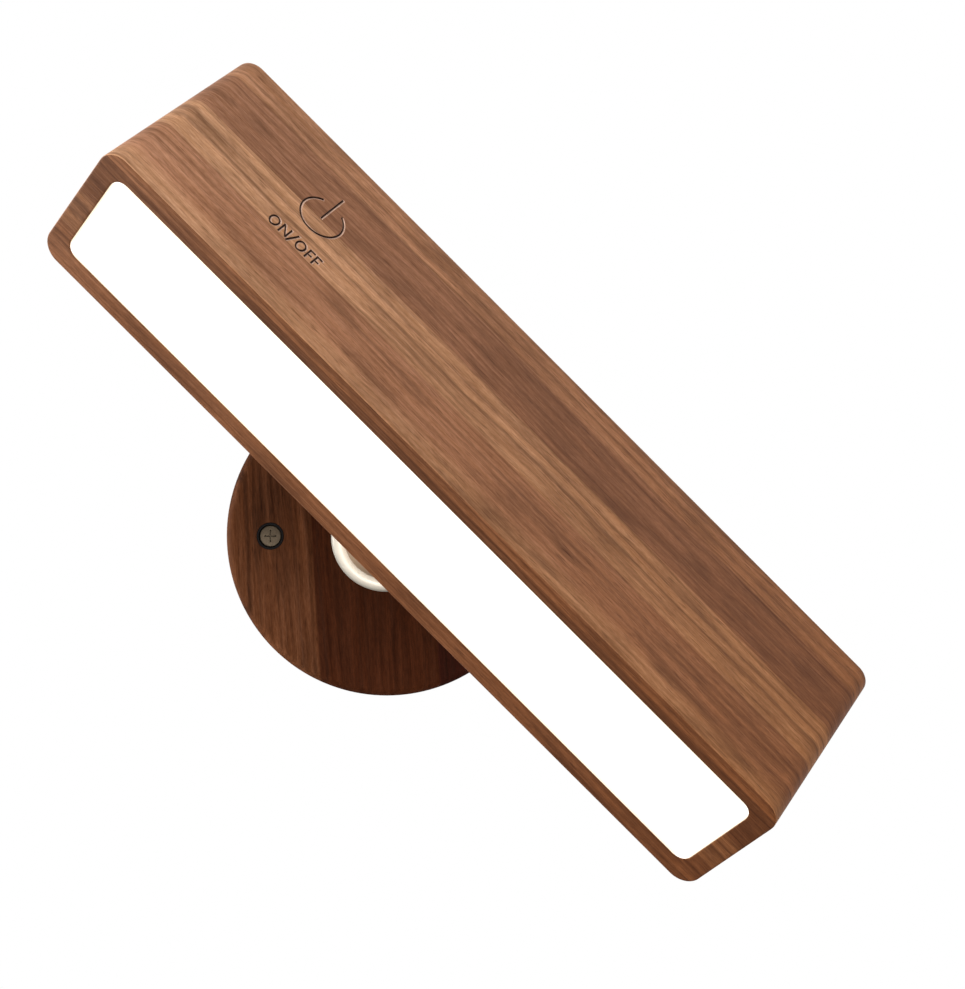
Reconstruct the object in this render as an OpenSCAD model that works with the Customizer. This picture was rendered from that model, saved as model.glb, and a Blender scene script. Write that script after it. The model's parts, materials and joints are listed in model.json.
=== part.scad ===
// Touch wall lamp: a wooden light bar on a magnetic ball joint and a round wall base.
// Millimetres. The origin is the middle of the base's back, on the wall.
// +Z is up, +X is right and +Y points into the wall.

/* [Light bar] */
// Length of the wooden bar
bar_l = 250; // [230:1:300]
// Height from the mount face to the touch face
bar_h = 45; // [43:0.5:56]
// Depth from the light face to the back face
bar_d = 66.6; // [62:0.1:80]
// Radius of the four long edges seen from the light side
bar_corner_r = 6; // [3:0.5:9]
// Thickness of the rim around the light window
rim = 6.2; // [5:0.1:7]
// Thickness of the back wall
back_wall = 5; // [4:0.5:7]
// Corner radius of the light window
window_r = 4; // [3:0.5:6]
// Width of the shoulder that carries the light tray
shoulder = 2; // [1:0.5:2.5]

/* [Light] */
// How far the diffuser sits behind the rim
diffuser_recess = 0.8; // [0.4:0.1:1.5]
// Thickness of the opal diffuser
diffuser_t = 2.5; // [2:0.1:3.5]
// Depth of the white light tray
tray_d = 13.7; // [11:0.1:16]
// Wall and floor thickness of the light tray
tray_wall = 1.5; // [1:0.1:2]
// Length of the light board
led_board_l = 200; // [180:1:225]
// Width of the light board
led_board_w = 18; // [16:0.5:22]
// Thickness of the light board
led_board_t = 1.5; // [1:0.1:2]
// Number of light chips along the board
led_columns = 18; // [10:2:22]
// Distance between the two rows of light chips
led_row_gap = 10; // [9:0.5:11]
// Length of one light chip
led_l = 3.5; // [2.8:0.1:4]
// Width of one light chip
led_w = 2.8; // [2:0.1:3]
// Height of one light chip
led_t = 0.8; // [0.6:0.1:1]

/* [Ball joint] */
// Diameter of the steel ball
ball_d = 24; // [22:0.5:25]
// Distance of the ball's centre from the front of the base
ball_h = 13.5; // [13:0.1:15]
// Distance from the ball's centre to the bar's mount face
stand_off = 19.2; // [18.5:0.1:24]
// Distance of the ball mount from the bar's middle
mount_x = -1.6; // [-6:0.1:6]
// Turn of the bar around the wall's normal, as photographed
lamp_swivel = 45; // [0:1:90]
// Tilt of the bar towards the wall, as photographed
lamp_tilt = 47; // [0:1:47]
// Diameter of the stud's neck
neck_d = 10; // [8:0.5:12]
// Diameter of the stud's flange
flange_d = 23; // [20:0.5:25]
// Thickness of the stud's flange
flange_t = 2.5; // [2:0.1:3]
// Diameter of the stem that passes through the bar's wall
stem_d = 8; // [6:0.5:9]
// Diameter of the steel plate let into the mount face
mount_plate_d = 36; // [34:0.5:40]
// Thickness of the plate let into the mount face
mount_plate_t = 1.5; // [1.5:0.1:2]
// Height of the nut inside the bar
nut_t = 5; // [4:0.5:6]
// Width of the nut across its corners
nut_d = 15; // [13.5:0.5:17]
// Diameter of the washer under the nut
stud_washer_d = 18; // [17:0.5:20]
// Thickness of the washer under the nut
stud_washer_t = 1.2; // [1:0.1:1.5]

/* [Wall base] */
// Diameter of the round base
base_d = 95; // [90:0.5:110]
// Thickness of the base
base_t = 16; // [16:0.5:20]
// Rounding of the base's front edge
base_edge_r = 3; // [1:0.5:5]
// Outside diameter of the ring around the ball
ring_d = 32.2; // [31:0.1:34]
// Height of the ring above the base
ring_h = 9.5; // [8.5:0.1:10]
// Bore of the ring around the ball
ring_bore = 22.4; // [22:0.1:23.4]
// Depth of the ring's spigot in the base
ring_spigot = 2; // [1.5:0.1:2.5]
// Outside diameter of the ring's spigot
ring_spigot_d = 27; // [26:0.5:29]
// Diameter of the turning seat under the ball
seat_d = 21; // [20:0.1:21.4]
// Height of the seat's edge above the base
seat_top = 5; // [4:0.1:5.5]
// Depth of the seat below the front of the base
seat_depth = 6.5; // [6:0.1:7]
// Diameter of the seat's stem
seat_stem_d = 6; // [5:0.5:6.5]
// Outside diameter of the ring magnet
magnet_d = 16; // [14:0.5:17]
// Thickness of the ring magnet
magnet_t = 4.5; // [3.5:0.1:5]
// Wall of the bush that the seat turns in
bush_wall = 2; // [1.5:0.1:2.3]
// Floor of the bush that the seat turns in
bush_floor = 1.2; // [1:0.1:2]
// Thickness of the wooden ledge under the bush
base_ledge = 2; // [1.6:0.1:3]
// Diameter of the pocket in the back of the base
pocket_d = 18; // [17:0.5:20]
// Diameter of the washer that holds the seat
seat_washer_d = 14; // [12:0.5:16]
// Thickness of the washer that holds the seat
seat_washer_t = 1; // [0.8:0.1:1.2]
// Diameter of the plate on the back of the base
back_plate_d = 34; // [32:0.5:40]
// Thickness of the plate on the back of the base
back_plate_t = 1.2; // [1:0.1:1.5]

/* [Wall screws] */
// Distance between the two wall screws
screw_pitch = 68.8; // [60:0.2:76]
// Diameter of a wall screw's head
screw_head_d = 6.5; // [5.5:0.1:6.8]
// Height of a wall screw's head
screw_head_t = 2.2; // [1.8:0.1:2.6]
// Diameter of a wall screw's thread
screw_d = 3.5; // [3:0.1:4]
// Diameter of a wall screw's plain shank in the base
screw_shank_d = 2.8; // [2.4:0.1:2.9]
// Length of a wall screw behind the base
screw_out = 25; // [15:1:35]
// Depth of the screw's head below the base's front
screw_sink = 0.8; // [0.3:0.1:1.2]
// Outside diameter of the black ferrule
ferrule_d = 8; // [7.6:0.1:9.2]
// Floor of the black ferrule under the screw's head
ferrule_floor = 1; // [0.8:0.1:1.5]

/* [Power and touch] */
// Diameter of the battery cell
cell_d = 18.4; // [17:0.1:19]
// Length of the battery cell
cell_l = 65.2; // [60:0.1:66]
// Distance of the battery's cradle from the right end of the hollow
cell_x = 2; // [0.5:0.5:8]
// Wall and floor of the battery cradle
cradle_wall = 3; // [2.5:0.1:3.5]
// Length of one ear of the cradle
ear_l = 9; // [8:0.5:10]
// Width of one ear of the cradle
ear_w = 12; // [10:0.5:16]
// Thickness of the metal tabs at the cell's ends
tab_t = 0.4; // [0.3:0.1:0.6]
// Length of the control board
board_l = 62; // [56:0.5:66]
// Width of the control board
board_w = 36; // [34:0.5:36]
// Thickness of the control board
board_t = 1.6; // [1.2:0.1:2]
// Height of the board's standoffs
standoff_h = 5.8; // [4:0.1:8]
// Width of a standoff across its corners
standoff_d = 5; // [4.5:0.1:6]
// Distance of the touch mark from the bar's left end
touch_x = 49; // [46:0.5:56]
// Distance of the touch mark from the light face
touch_y = 42; // [40:0.5:44]
// Wood left above the touch electrode
touch_skin = 2.5; // [2:0.1:3.5]
// Diameter of the touch electrode
electrode_d = 18; // [14:0.5:20]
// Thickness of the touch electrode
electrode_t = 0.3; // [0.2:0.1:0.5]
// Width of the charging socket
usb_w = 9; // [8.9:0.1:9.2]
// Height of the charging socket
usb_h = 3.3; // [3.2:0.1:3.5]
// Length of the charging socket
usb_l = 10; // [9:0.5:11]
// Wall of the charging socket
usb_wall = 0.35; // [0.3:0.05:0.4]
// Diameter of the charge indicator
indicator_d = 2.5; // [2:0.1:3]
// Diameter of the lead to the light board
led_lead_d = 2; // [1.5:0.1:2.4]
// Diameter of the lead to the battery
cell_lead_d = 2.4; // [1.5:0.1:2.8]

/* [Fits] */
// Room around pieces that slide into the wood
fit = 0.2; // [0.1:0.05:0.3]
// Room in turning fits
run_gap = 0.05; // [0.03:0.01:0.1]
// Diameter of the small screws' shanks
small_screw_d = 2.4; // [2:0.1:2.6]
// Diameter of the small screws' heads
small_head_d = 4.4; // [4:0.1:4.8]
// Height of the small screws' heads
small_head_t = 1.5; // [1.2:0.1:1.7]
// Length of the small screws under the head
small_screw_l = 5; // [4:0.1:5.5]

/* [Hidden] */
$fn = 64;
eps = 1;
// Shares of a screw head taken by its cross recess
recess_arm = 0.62;
recess_slot = 0.16;

walnut_dark = [0.20, 0.11, 0.07];
walnut_light = [0.56, 0.40, 0.29];
nickel = [0.86, 0.83, 0.78];
steel = [0.66, 0.67, 0.68];
brass = [0.78, 0.62, 0.32];
copper = [0.80, 0.48, 0.30];
black = [0.06, 0.06, 0.06];
white = [0.95, 0.95, 0.93];
green = [0.10, 0.32, 0.18];
blue = [0.15, 0.30, 0.55];
red = [0.62, 0.12, 0.10];

// Ball joint
ball_r = ball_d / 2;
ring_wall = (ring_d - ring_bore) / 2;
ring_room = 0.2;
ring_reach = ball_r + ring_room + ring_wall / 2;
ring_rise = sqrt(max(0, pow(ring_reach, 2) - pow((ring_bore + ring_wall) / 2, 2)));
ball_out = base_t + max(ball_h, ring_h - ring_wall / 2 + ring_rise);
neck_start = sqrt(ball_r * ball_r - neck_d * neck_d / 4) - eps;
flare_d = (neck_d + flange_d) / 2;
flange_base = stand_off - run_gap - flange_t;
flare_l = (flange_base - ball_r) / 2;

// Base, measured out from the wall
bush_top = base_t - ring_spigot;
bush_bottom = base_t - seat_depth - run_gap - bush_floor;
bush_d = seat_d + 2 * run_gap + 2 * bush_wall;
ledge_bottom = bush_bottom - base_ledge;
seat_bottom = base_t - seat_depth;
seat_end = ledge_bottom - run_gap;
magnet_bore = seat_stem_d + 2 * fit;
plate_screw_n = 3;
plate_screw_r = (pocket_d + back_plate_d) / 4;

// Bar, measured from the mount face, the light face and the middle
tray_end_room = 2;
window_l = max(bar_l - 2 * rim, led_board_l + 2 * (tray_end_room + tray_wall + fit));
shell_l = window_l + 2 * rim;
window_h = bar_h - 2 * rim;
mid_z = bar_h / 2;
tray_front = diffuser_recess + diffuser_t;
tray_back = tray_front + tray_d;
inner_back = bar_d - back_wall;
inner_floor = rim + shoulder;
inner_top = bar_h - rim - shoulder;
inner_r = max(window_r - shoulder, 1);
led_board_back = tray_back - tray_wall;
led_board_front = led_board_back - led_board_t;
led_pitch = (led_board_l - 2 * small_head_d) / led_columns;
led_boss_wall = 1.5;
led_boss_d = small_screw_d + 2 * led_boss_wall;
led_boss_t = small_screw_l - led_board_t - tray_wall;
led_screw_x = [for (s = [-1.5, -0.5, 0.5, 1.5]) s * led_pitch * floor(led_columns / 3)];
mount_y = bar_d / 2;
mark_x = touch_x - shell_l / 2;
thread_end = 1;
stem_l = inner_floor + run_gap + stud_washer_t + nut_t + thread_end;
plate_hole_r = (flange_d + mount_plate_d) / 4;
board_front = inner_back - fit - board_w;
board_bottom = inner_floor + standoff_h;
board_top = board_bottom + board_t;
board_margin = 1;
board_edge = standoff_d / 2 + board_margin;
spigot_t = 3;
usb_z = board_top + usb_h / 2;
usb_floor = 2.5;
tongue_h = 0.7;
tongue_side = 1.2;
tongue_sink = 1.2;
indicator_gap = 3;
indicator_x = usb_w / 2 + indicator_d + indicator_gap;
cell_y = inner_back - cradle_wall - fit - cell_d / 2;
cradle_l = cell_l + 2 * (tab_t + fit + cradle_wall);
cell_mid = window_l / 2 - shoulder - cell_x - ear_l - cradle_l / 2;
cradle_lip = 1;
cradle_h = cell_d + 2 * (fit + cradle_lip);
cradle_left = cell_mid - cradle_l / 2;
cell_cap_d = 6;
cell_cap_t = 1;
tab_d = 9;
// Chips on the control board: its left (-1) or right (1) end, place from that end and from the front,
// length, width and height
chip_boxes = [[-1, 16, 12, 8, 6, 1.6], [1, 18, 12, 5, 4, 1.4]];
// Coil and capacitor: the same ends and places, diameter and height
chip_cans = [[1, 16, 24, 7, 4], [-1, 16, 24, 5, 6]];
led_lead_end = 9;
pin_barrel_d = 4;
lead_room = 3;
led_lead_x = mark_x + (pin_barrel_d + led_lead_d) / 2 + lead_room;
pin_plunger_d = 2;
electrode_bottom = bar_h - touch_skin - electrode_t;

// Out from the wall along the base's axis
module on_base() {
  rotate([90, 0, 0])
    children();
}

// From the ball's centre towards the bar, as the bar is turned and tilted
module on_stud() {
  translate([0, -ball_out, 0])
    rotate([0, lamp_swivel, 0])
      rotate([90 - lamp_tilt, 0, 0])
        children();
}

// In the bar: x along it, y back from the light face, z up from the mount face
module on_bar() {
  on_stud()
    translate([-mount_x, -mount_y, stand_off])
      children();
}

module rounded_rect(l, h, r) {
  square([l - 2 * r, h], center = true);
  square([l, h - 2 * r], center = true);
  for (sx = [-1, 1], sy = [-1, 1])
    translate([sx * (l / 2 - r), sy * (h / 2 - r)])
      circle(r);
}

// Rounded block of the bar's section from depth y0 to depth y1
module bar_prism(l, h, r, y0, y1) {
  translate([0, y1, mid_z])
    rotate([90, 0, 0])
      linear_extrude(y1 - y0)
        rounded_rect(l, h, r);
}

module tube(d_out, d_in, h) {
  difference() {
    cylinder(d = d_out, h = h);
    translate([0, 0, -eps])
      cylinder(d = d_in, h = h + 2 * eps);
  }
}

// Cylinder along the bar's depth
module bar_pin(d, y0, y1) {
  translate([0, y1, 0])
    rotate([90, 0, 0])
      cylinder(d = d, h = y1 - y0);
}

// Cross recess cut into a screw head whose top is at z = 0
module cross_recess(head_d, depth) {
  arm = recess_arm * head_d;
  slot = recess_slot * head_d;
  for (a = [0, 90])
    rotate([0, 0, a])
      translate([-arm / 2, -slot / 2, -depth])
        cube([arm, slot, depth + eps]);
}

// Small screw with the underside of its head at z = 0 and its shank below
module small_screw(l) {
  difference() {
    union() {
      cylinder(d = small_head_d, h = small_head_t);
      translate([0, 0, -l])
        cylinder(d = small_screw_d, h = l + eps / 2);
    }
    translate([0, 0, small_head_t])
      cross_recess(small_head_d, small_head_t / 2);
  }
}

// Flat-headed screw with the top of its head at z = 0
module flat_screw(head_t, l) {
  difference() {
    union() {
      translate([0, 0, -head_t])
        cylinder(d1 = small_screw_d, d2 = small_head_d, h = head_t);
      translate([0, 0, -l])
        cylinder(d = small_screw_d, h = l - head_t / 2);
    }
    cross_recess(small_head_d, head_t / 2);
  }
}

// Cut that a flat-headed screw sits in
module flat_screw_cut(head_t, l, room) {
  translate([0, 0, -head_t])
    cylinder(d1 = small_screw_d + room, d2 = small_head_d + room, h = head_t);
  translate([0, 0, -l])
    cylinder(d = small_screw_d + room, h = l);
  translate([0, 0, -eps / 100])
    cylinder(d = small_head_d + room, h = eps);
}

module at_wall_screws() {
  for (s = [-1, 1])
    translate([s * screw_pitch / 2, 0, 0])
      children();
}

module at_plate_screws() {
  for (i = [0 : plate_screw_n - 1])
    rotate([0, 0, 90 + i * 360 / plate_screw_n])
      translate([plate_screw_r, 0, 0])
        rotate([180, 0, 0])
          children();
}

module at_mount_plate_screws() {
  for (i = [0 : plate_screw_n - 1])
    translate([mount_x, mount_y, 0])
      rotate([0, 0, 90 + i * 360 / plate_screw_n])
        translate([plate_hole_r, 0, 0])
          rotate([180, 0, 0])
            children();
}

module at_standoffs() {
  for (sx = [-1, 1], y = [board_front + board_edge, inner_back - fit - board_edge])
    translate([mark_x + sx * (board_l / 2 - board_edge), y, 0])
      children();
}

module at_led_screws() {
  for (x = led_screw_x)
    translate([x, led_board_front, mid_z])
      rotate([90, 0, 0])
        children();
}

module at_ears() {
  for (s = [-1, 1])
    translate([cell_mid + s * (cradle_l + ear_l) / 2, inner_back, mid_z])
      children();
}

// Turned wooden disc with its front edge rounded
module base_disc() {
  color(walnut_dark)
    on_base()
      difference() {
        rotate_extrude()
          base_profile();
        translate([0, 0, bush_bottom])
          cylinder(d = bush_d + 2 * run_gap, h = base_t);
        translate([0, 0, bush_top])
          cylinder(d = ring_spigot_d + 2 * run_gap, h = base_t);
        translate([0, 0, -eps])
          cylinder(d = seat_stem_d + 2 * fit + 2 * run_gap, h = base_t);
        translate([0, 0, -eps])
          cylinder(d = pocket_d, h = ledge_bottom + eps);
        translate([0, 0, -eps])
          cylinder(d = back_plate_d + 2 * fit, h = back_plate_t + eps);
        at_plate_screws()
          flat_screw_cut(back_plate_t, small_screw_l, run_gap);
        at_wall_screws()
          ferrule_cut();
      }
}

module base_profile() {
  square([base_d / 2, base_t - base_edge_r]);
  square([base_d / 2 - base_edge_r, base_t]);
  translate([base_d / 2 - base_edge_r, base_t - base_edge_r])
    circle(base_edge_r);
}

module ferrule_cut() {
  translate([0, 0, -eps])
    cylinder(d = screw_d + 2 * fit, h = base_t);
  translate([0, 0, base_t - screw_sink - screw_head_t - ferrule_floor])
    cylinder(d = ferrule_d + 2 * run_gap, h = base_t);
}

// Rounded metal ring around the ball
module socket_ring() {
  color(nickel)
    on_base()
      translate([0, 0, base_t])
        union() {
          rotate_extrude()
            ring_profile();
          translate([0, 0, -ring_spigot])
            tube(ring_spigot_d, ring_bore, ring_spigot + eps);
        }
}

module ring_profile() {
  translate([ring_bore / 2, 0])
    square([ring_wall, ring_h - ring_wall / 2]);
  translate([ring_bore / 2 + ring_wall / 2, ring_h - ring_wall / 2])
    circle(d = ring_wall);
}

// Flanged bush that the seat turns in
module socket_bush() {
  color(brass)
    on_base()
      difference() {
        translate([0, 0, bush_bottom])
          cylinder(d = bush_d, h = bush_top - bush_bottom);
        translate([0, 0, bush_bottom + bush_floor])
          cylinder(d = seat_d + 2 * run_gap, h = base_t);
        translate([0, 0, -eps])
          cylinder(d = seat_stem_d + 2 * run_gap, h = base_t);
      }
}

// Steel plate that closes the pocket in the back of the base
module back_plate() {
  color(steel)
    on_base()
      difference() {
        cylinder(d = back_plate_d, h = back_plate_t);
        at_plate_screws()
          flat_screw_cut(back_plate_t, small_screw_l, run_gap);
      }
}

module back_plate_screws() {
  color(steel)
    on_base()
      at_plate_screws()
        flat_screw(back_plate_t, small_screw_l);
}

// Two wood screws that hold the base on the wall
module wall_screws() {
  color(steel)
    on_base()
      at_wall_screws()
        wall_screw();
}

module wall_screw() {
  head_top = base_t - screw_sink;
  tip_l = 2 * screw_d;
  difference() {
    union() {
      translate([0, 0, head_top - screw_head_t])
        cylinder(d = screw_head_d, h = screw_head_t);
      translate([0, 0, -eps])
        cylinder(d = screw_shank_d, h = head_top - screw_head_t / 2 + eps);
      translate([0, 0, tip_l - screw_out])
        cylinder(d = screw_d, h = screw_out - tip_l);
      translate([0, 0, -screw_out])
        cylinder(d1 = screw_d / 4, d2 = screw_d, h = tip_l);
    }
    translate([0, 0, head_top])
      cross_recess(screw_head_d, screw_head_t / 2);
  }
}

// Black eyelets that line the screw holes
module screw_ferrules() {
  color(black)
    on_base()
      at_wall_screws()
        screw_ferrule();
}

module screw_ferrule() {
  floor_top = base_t - screw_sink - screw_head_t;
  difference() {
    translate([0, 0, floor_top - ferrule_floor])
      cylinder(d = ferrule_d, h = base_t - floor_top + ferrule_floor);
    translate([0, 0, floor_top])
      cylinder(d = screw_head_d + 2 * run_gap, h = base_t);
    cylinder(d = screw_d + 2 * run_gap, h = base_t);
  }
}

// Seat with a hollow top for the ball and a stem through the bush
module seat_cup() {
  color(steel)
    on_base()
      difference() {
        union() {
          translate([0, 0, seat_bottom])
            cylinder(d = seat_d, h = seat_depth + seat_top);
          translate([0, 0, seat_end])
            cylinder(d = seat_stem_d, h = seat_bottom - seat_end + eps);
        }
        translate([0, 0, ball_out])
          sphere(r = ball_r + run_gap, $fn = 96);
        translate([0, 0, seat_bottom - eps])
          tube(magnet_d + 2 * run_gap, seat_stem_d, magnet_t + run_gap + eps);
        translate([0, 0, seat_end - eps])
          cylinder(d = small_screw_d + 2 * run_gap, h = small_screw_l - seat_washer_t + eps + fit);
      }
}

// Ring magnet under the seat's hollow
module seat_magnet() {
  color(steel)
    on_base()
      translate([0, 0, seat_bottom])
        tube(magnet_d, magnet_bore, magnet_t);
}

module seat_washer() {
  color(steel)
    on_base()
      translate([0, 0, seat_end - seat_washer_t])
        tube(seat_washer_d, small_screw_d + 2 * run_gap, seat_washer_t);
}

module seat_screw() {
  color(steel)
    on_base()
      translate([0, 0, seat_end - seat_washer_t])
        rotate([180, 0, 0])
          small_screw(small_screw_l);
}

// Plain steel ball held by the magnet
module ball() {
  color(nickel)
    on_stud()
      sphere(r = ball_r, $fn = 96);
}

// Stud brazed to the ball, with a flange under the bar and a stem through its wall
module ball_stud() {
  color(nickel)
    on_stud()
      difference() {
        union() {
          translate([0, 0, neck_start])
            cylinder(d = neck_d, h = flange_base - neck_start + eps);
          translate([0, 0, flange_base - flare_l])
            cylinder(d1 = neck_d, d2 = flare_d, h = flare_l);
          translate([0, 0, flange_base])
            cylinder(d = flange_d, h = flange_t);
          translate([0, 0, flange_base + eps])
            cylinder(d = stem_d, h = flange_t + run_gap + stem_l - eps);
        }
        sphere(r = ball_r + run_gap, $fn = 96);
      }
}

module stud_washer() {
  color(steel)
    on_stud()
      translate([0, 0, stand_off + inner_floor + run_gap])
        tube(stud_washer_d, stem_d + 2 * run_gap, stud_washer_t);
}

module stud_nut() {
  color(steel)
    on_stud()
      translate([0, 0, stand_off + inner_floor + run_gap + stud_washer_t])
        difference() {
          cylinder(d = nut_d, h = nut_t, $fn = 6);
          translate([0, 0, -eps])
            cylinder(d = stem_d + 2 * run_gap, h = nut_t + 2 * eps);
        }
}

// Wooden bar milled out from its light face
module lamp_shell() {
  color(walnut_light)
    on_bar()
      difference() {
        bar_prism(shell_l, bar_h, bar_corner_r, 0, bar_d);
        bar_prism(window_l, window_h, window_r, -eps, tray_back);
        bar_prism(window_l - 2 * shoulder, window_h - 2 * shoulder, inner_r, 0, inner_back);
        mount_cut();
        touch_cut();
        socket_cut();
        at_standoffs()
          translate([0, 0, inner_floor - spigot_t - fit])
            cylinder(d = small_screw_d + 2 * run_gap, h = spigot_t + fit + eps);
        at_ears()
          bar_pin(small_screw_d + 2 * run_gap, -eps, small_screw_l - cradle_wall + fit);
      }
}

module mount_cut() {
  translate([mount_x, mount_y, -eps])
    cylinder(d = mount_plate_d + 2 * run_gap, h = mount_plate_t + eps);
  translate([mount_x, mount_y, -eps])
    cylinder(d = stem_d + 2 * fit, h = inner_floor + 2 * eps);
  at_mount_plate_screws()
    flat_screw_cut(mount_plate_t, small_screw_l, run_gap);
}

module touch_cut() {
  translate([mark_x, touch_y, inner_top - eps])
    cylinder(d = electrode_d + 2 * fit, h = bar_h - touch_skin - inner_top + eps);
}

module socket_cut() {
  translate([mark_x, bar_d + eps, usb_z])
    rotate([90, 0, 0])
      linear_extrude(back_wall + 2 * eps)
        rounded_rect(usb_w + 2 * fit, usb_h + 2 * fit, usb_h / 2);
  translate([mark_x + indicator_x, 0, usb_z])
    bar_pin(indicator_d + 2 * run_gap, inner_back - eps, bar_d + eps);
}

// Steel plate that the flange turns on
module mount_plate() {
  color(steel)
    on_bar()
      difference() {
        translate([mount_x, mount_y, 0])
          cylinder(d = mount_plate_d, h = mount_plate_t);
        translate([mount_x, mount_y, -eps])
          cylinder(d = stem_d + 2 * run_gap, h = mount_plate_t + 2 * eps);
        at_mount_plate_screws()
          flat_screw_cut(mount_plate_t, small_screw_l, run_gap);
      }
}

module mount_plate_screws() {
  color(steel)
    on_bar()
      at_mount_plate_screws()
        flat_screw(mount_plate_t, small_screw_l);
}

// Opal window
module diffuser() {
  color(white)
    on_bar()
      bar_prism(window_l - 2 * fit, window_h - 2 * fit, window_r - fit, diffuser_recess, tray_front);
}

// White tray that carries the light board and backs the diffuser
module light_tray() {
  color(white)
    on_bar()
      difference() {
        union() {
          bar_prism(window_l - 2 * fit, window_h - 2 * fit, window_r - fit, tray_front, tray_back);
          for (x = led_screw_x)
            translate([x, 0, mid_z])
              bar_pin(led_boss_d, tray_back - eps / 2, tray_back + led_boss_t);
        }
        bar_prism(window_l - 2 * (fit + tray_wall), window_h - 2 * (fit + tray_wall),
                  window_r - fit - tray_wall, tray_front - eps, led_board_back);
        for (x = led_screw_x)
          translate([x, 0, mid_z])
            bar_pin(small_screw_d + 2 * run_gap, 0, tray_back + led_boss_t + eps);
        translate([led_lead_x, 0, board_top + led_lead_d / 2])
          bar_pin(led_lead_d + 2 * fit, 0, tray_back + eps);
      }
}

// Aluminium board with two rows of light chips
module led_board() {
  color(white)
    on_bar()
      difference() {
        translate([-led_board_l / 2, led_board_front, mid_z - led_board_w / 2])
          cube([led_board_l, led_board_t, led_board_w]);
        for (x = led_screw_x)
          translate([x, 0, mid_z])
            bar_pin(small_screw_d + 2 * run_gap, 0, bar_d);
      }
}

module led_chips() {
  color([0.95, 0.85, 0.45])
    on_bar()
      for (i = [0 : led_columns - 1], s = [-1, 1])
        translate([(i - (led_columns - 1) / 2) * led_pitch, led_board_front, mid_z + s * led_row_gap / 2])
          translate([-led_l / 2, -led_t, -led_w / 2])
            cube([led_l, led_t, led_w]);
}

module led_board_screws() {
  color(steel)
    on_bar()
      at_led_screws()
        small_screw(small_screw_l);
}

// Round lithium cell with a raised end
module battery_cell() {
  color(blue)
    on_bar()
      translate([cell_mid - cell_l / 2, cell_y, mid_z])
        rotate([0, 90, 0])
          union() {
            cylinder(d = cell_d, h = cell_l - cell_cap_t);
            cylinder(d = cell_cap_d, h = cell_l);
          }
}

// Cradle screwed to the back wall
module battery_cradle() {
  color(black)
    on_bar()
      difference() {
        union() {
          translate([cradle_left, cell_y, mid_z - cradle_h / 2])
            cube([cradle_l, inner_back - cell_y, cradle_h]);
          translate([cradle_left - ear_l, inner_back - cradle_wall, mid_z - ear_w / 2])
            cube([cradle_l + 2 * ear_l, cradle_wall, ear_w]);
        }
        translate([cell_mid - cell_l / 2 - tab_t - fit, cell_y, mid_z])
          rotate([0, 90, 0])
            cylinder(d = cell_d + 2 * fit, h = cell_l + 2 * (tab_t + fit));
        at_ears()
          bar_pin(small_screw_d + 2 * run_gap, -bar_d, eps);
      }
}

module cradle_screws() {
  color(steel)
    on_bar()
      at_ears()
        translate([0, -cradle_wall, 0])
          rotate([90, 0, 0])
            small_screw(small_screw_l);
}

// Nickel tabs on the ends of the cell
module battery_tabs() {
  color(nickel)
    on_bar()
      for (s = [-1, 1])
        translate([cell_mid + s * (cell_l + tab_t) / 2, cell_y, mid_z])
          rotate([0, 90, 0])
            cylinder(d = tab_d, h = tab_t, center = true);
}

// Board with the touch switch, the charger and the dimmer
module control_board() {
  color(green)
    on_bar()
      difference() {
        translate([mark_x - board_l / 2, board_front, board_bottom])
          cube([board_l, board_w, board_t]);
        at_standoffs()
          cylinder(d = small_screw_d + 2 * run_gap, h = bar_h);
      }
}

// Chips, a coil and a capacitor on the control board
module control_chips() {
  color(black)
    on_bar()
      translate([mark_x, board_front, board_top]) {
        for (c = chip_boxes)
          translate([c[0] * (board_l / 2 - c[1]) - c[3] / 2, c[2] - c[4] / 2, 0])
            cube([c[3], c[4], c[5]]);
        for (c = chip_cans)
          translate([c[0] * (board_l / 2 - c[1]), c[2], 0])
            cylinder(d = c[3], h = c[4]);
      }
}

// Brass standoffs screwed into the wood
module board_standoffs() {
  color(brass)
    on_bar()
      at_standoffs()
        difference() {
          union() {
            translate([0, 0, inner_floor])
              cylinder(d = standoff_d, h = standoff_h, $fn = 6);
            translate([0, 0, inner_floor - spigot_t])
              cylinder(d = small_screw_d, h = spigot_t + eps);
          }
          translate([0, 0, board_top - small_screw_l - fit])
            cylinder(d = small_screw_d + 2 * run_gap, h = small_screw_l + fit);
        }
}

module board_screws() {
  color(steel)
    on_bar()
      at_standoffs()
        translate([0, 0, board_top])
          small_screw(small_screw_l);
}

// Charging socket in the back of the bar
module usb_socket() {
  tongue_w = usb_w - 2 * tongue_side;
  color(steel)
    on_bar()
      translate([mark_x, bar_d, usb_z])
        rotate([90, 0, 0])
          union() {
            difference() {
              linear_extrude(usb_l)
                rounded_rect(usb_w, usb_h, usb_h / 2 - fit);
              translate([0, 0, -eps])
                linear_extrude(usb_l - usb_floor + eps)
                  rounded_rect(usb_w - 2 * usb_wall, usb_h - 2 * usb_wall, usb_h / 2 - usb_wall - fit);
            }
            translate([-tongue_w / 2, -tongue_h / 2, tongue_sink])
              cube([tongue_w, tongue_h, usb_l - usb_floor]);
          }
}

// Clear pin that shows the charge
module indicator_light() {
  color(red)
    on_bar()
      translate([mark_x + indicator_x, 0, usb_z])
        bar_pin(indicator_d, inner_back - fit, bar_d);
}

// Copper disc that senses a finger through the wood
module touch_electrode() {
  color(copper)
    on_bar()
      translate([mark_x, touch_y, electrode_bottom])
        cylinder(d = electrode_d, h = electrode_t);
}

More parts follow.
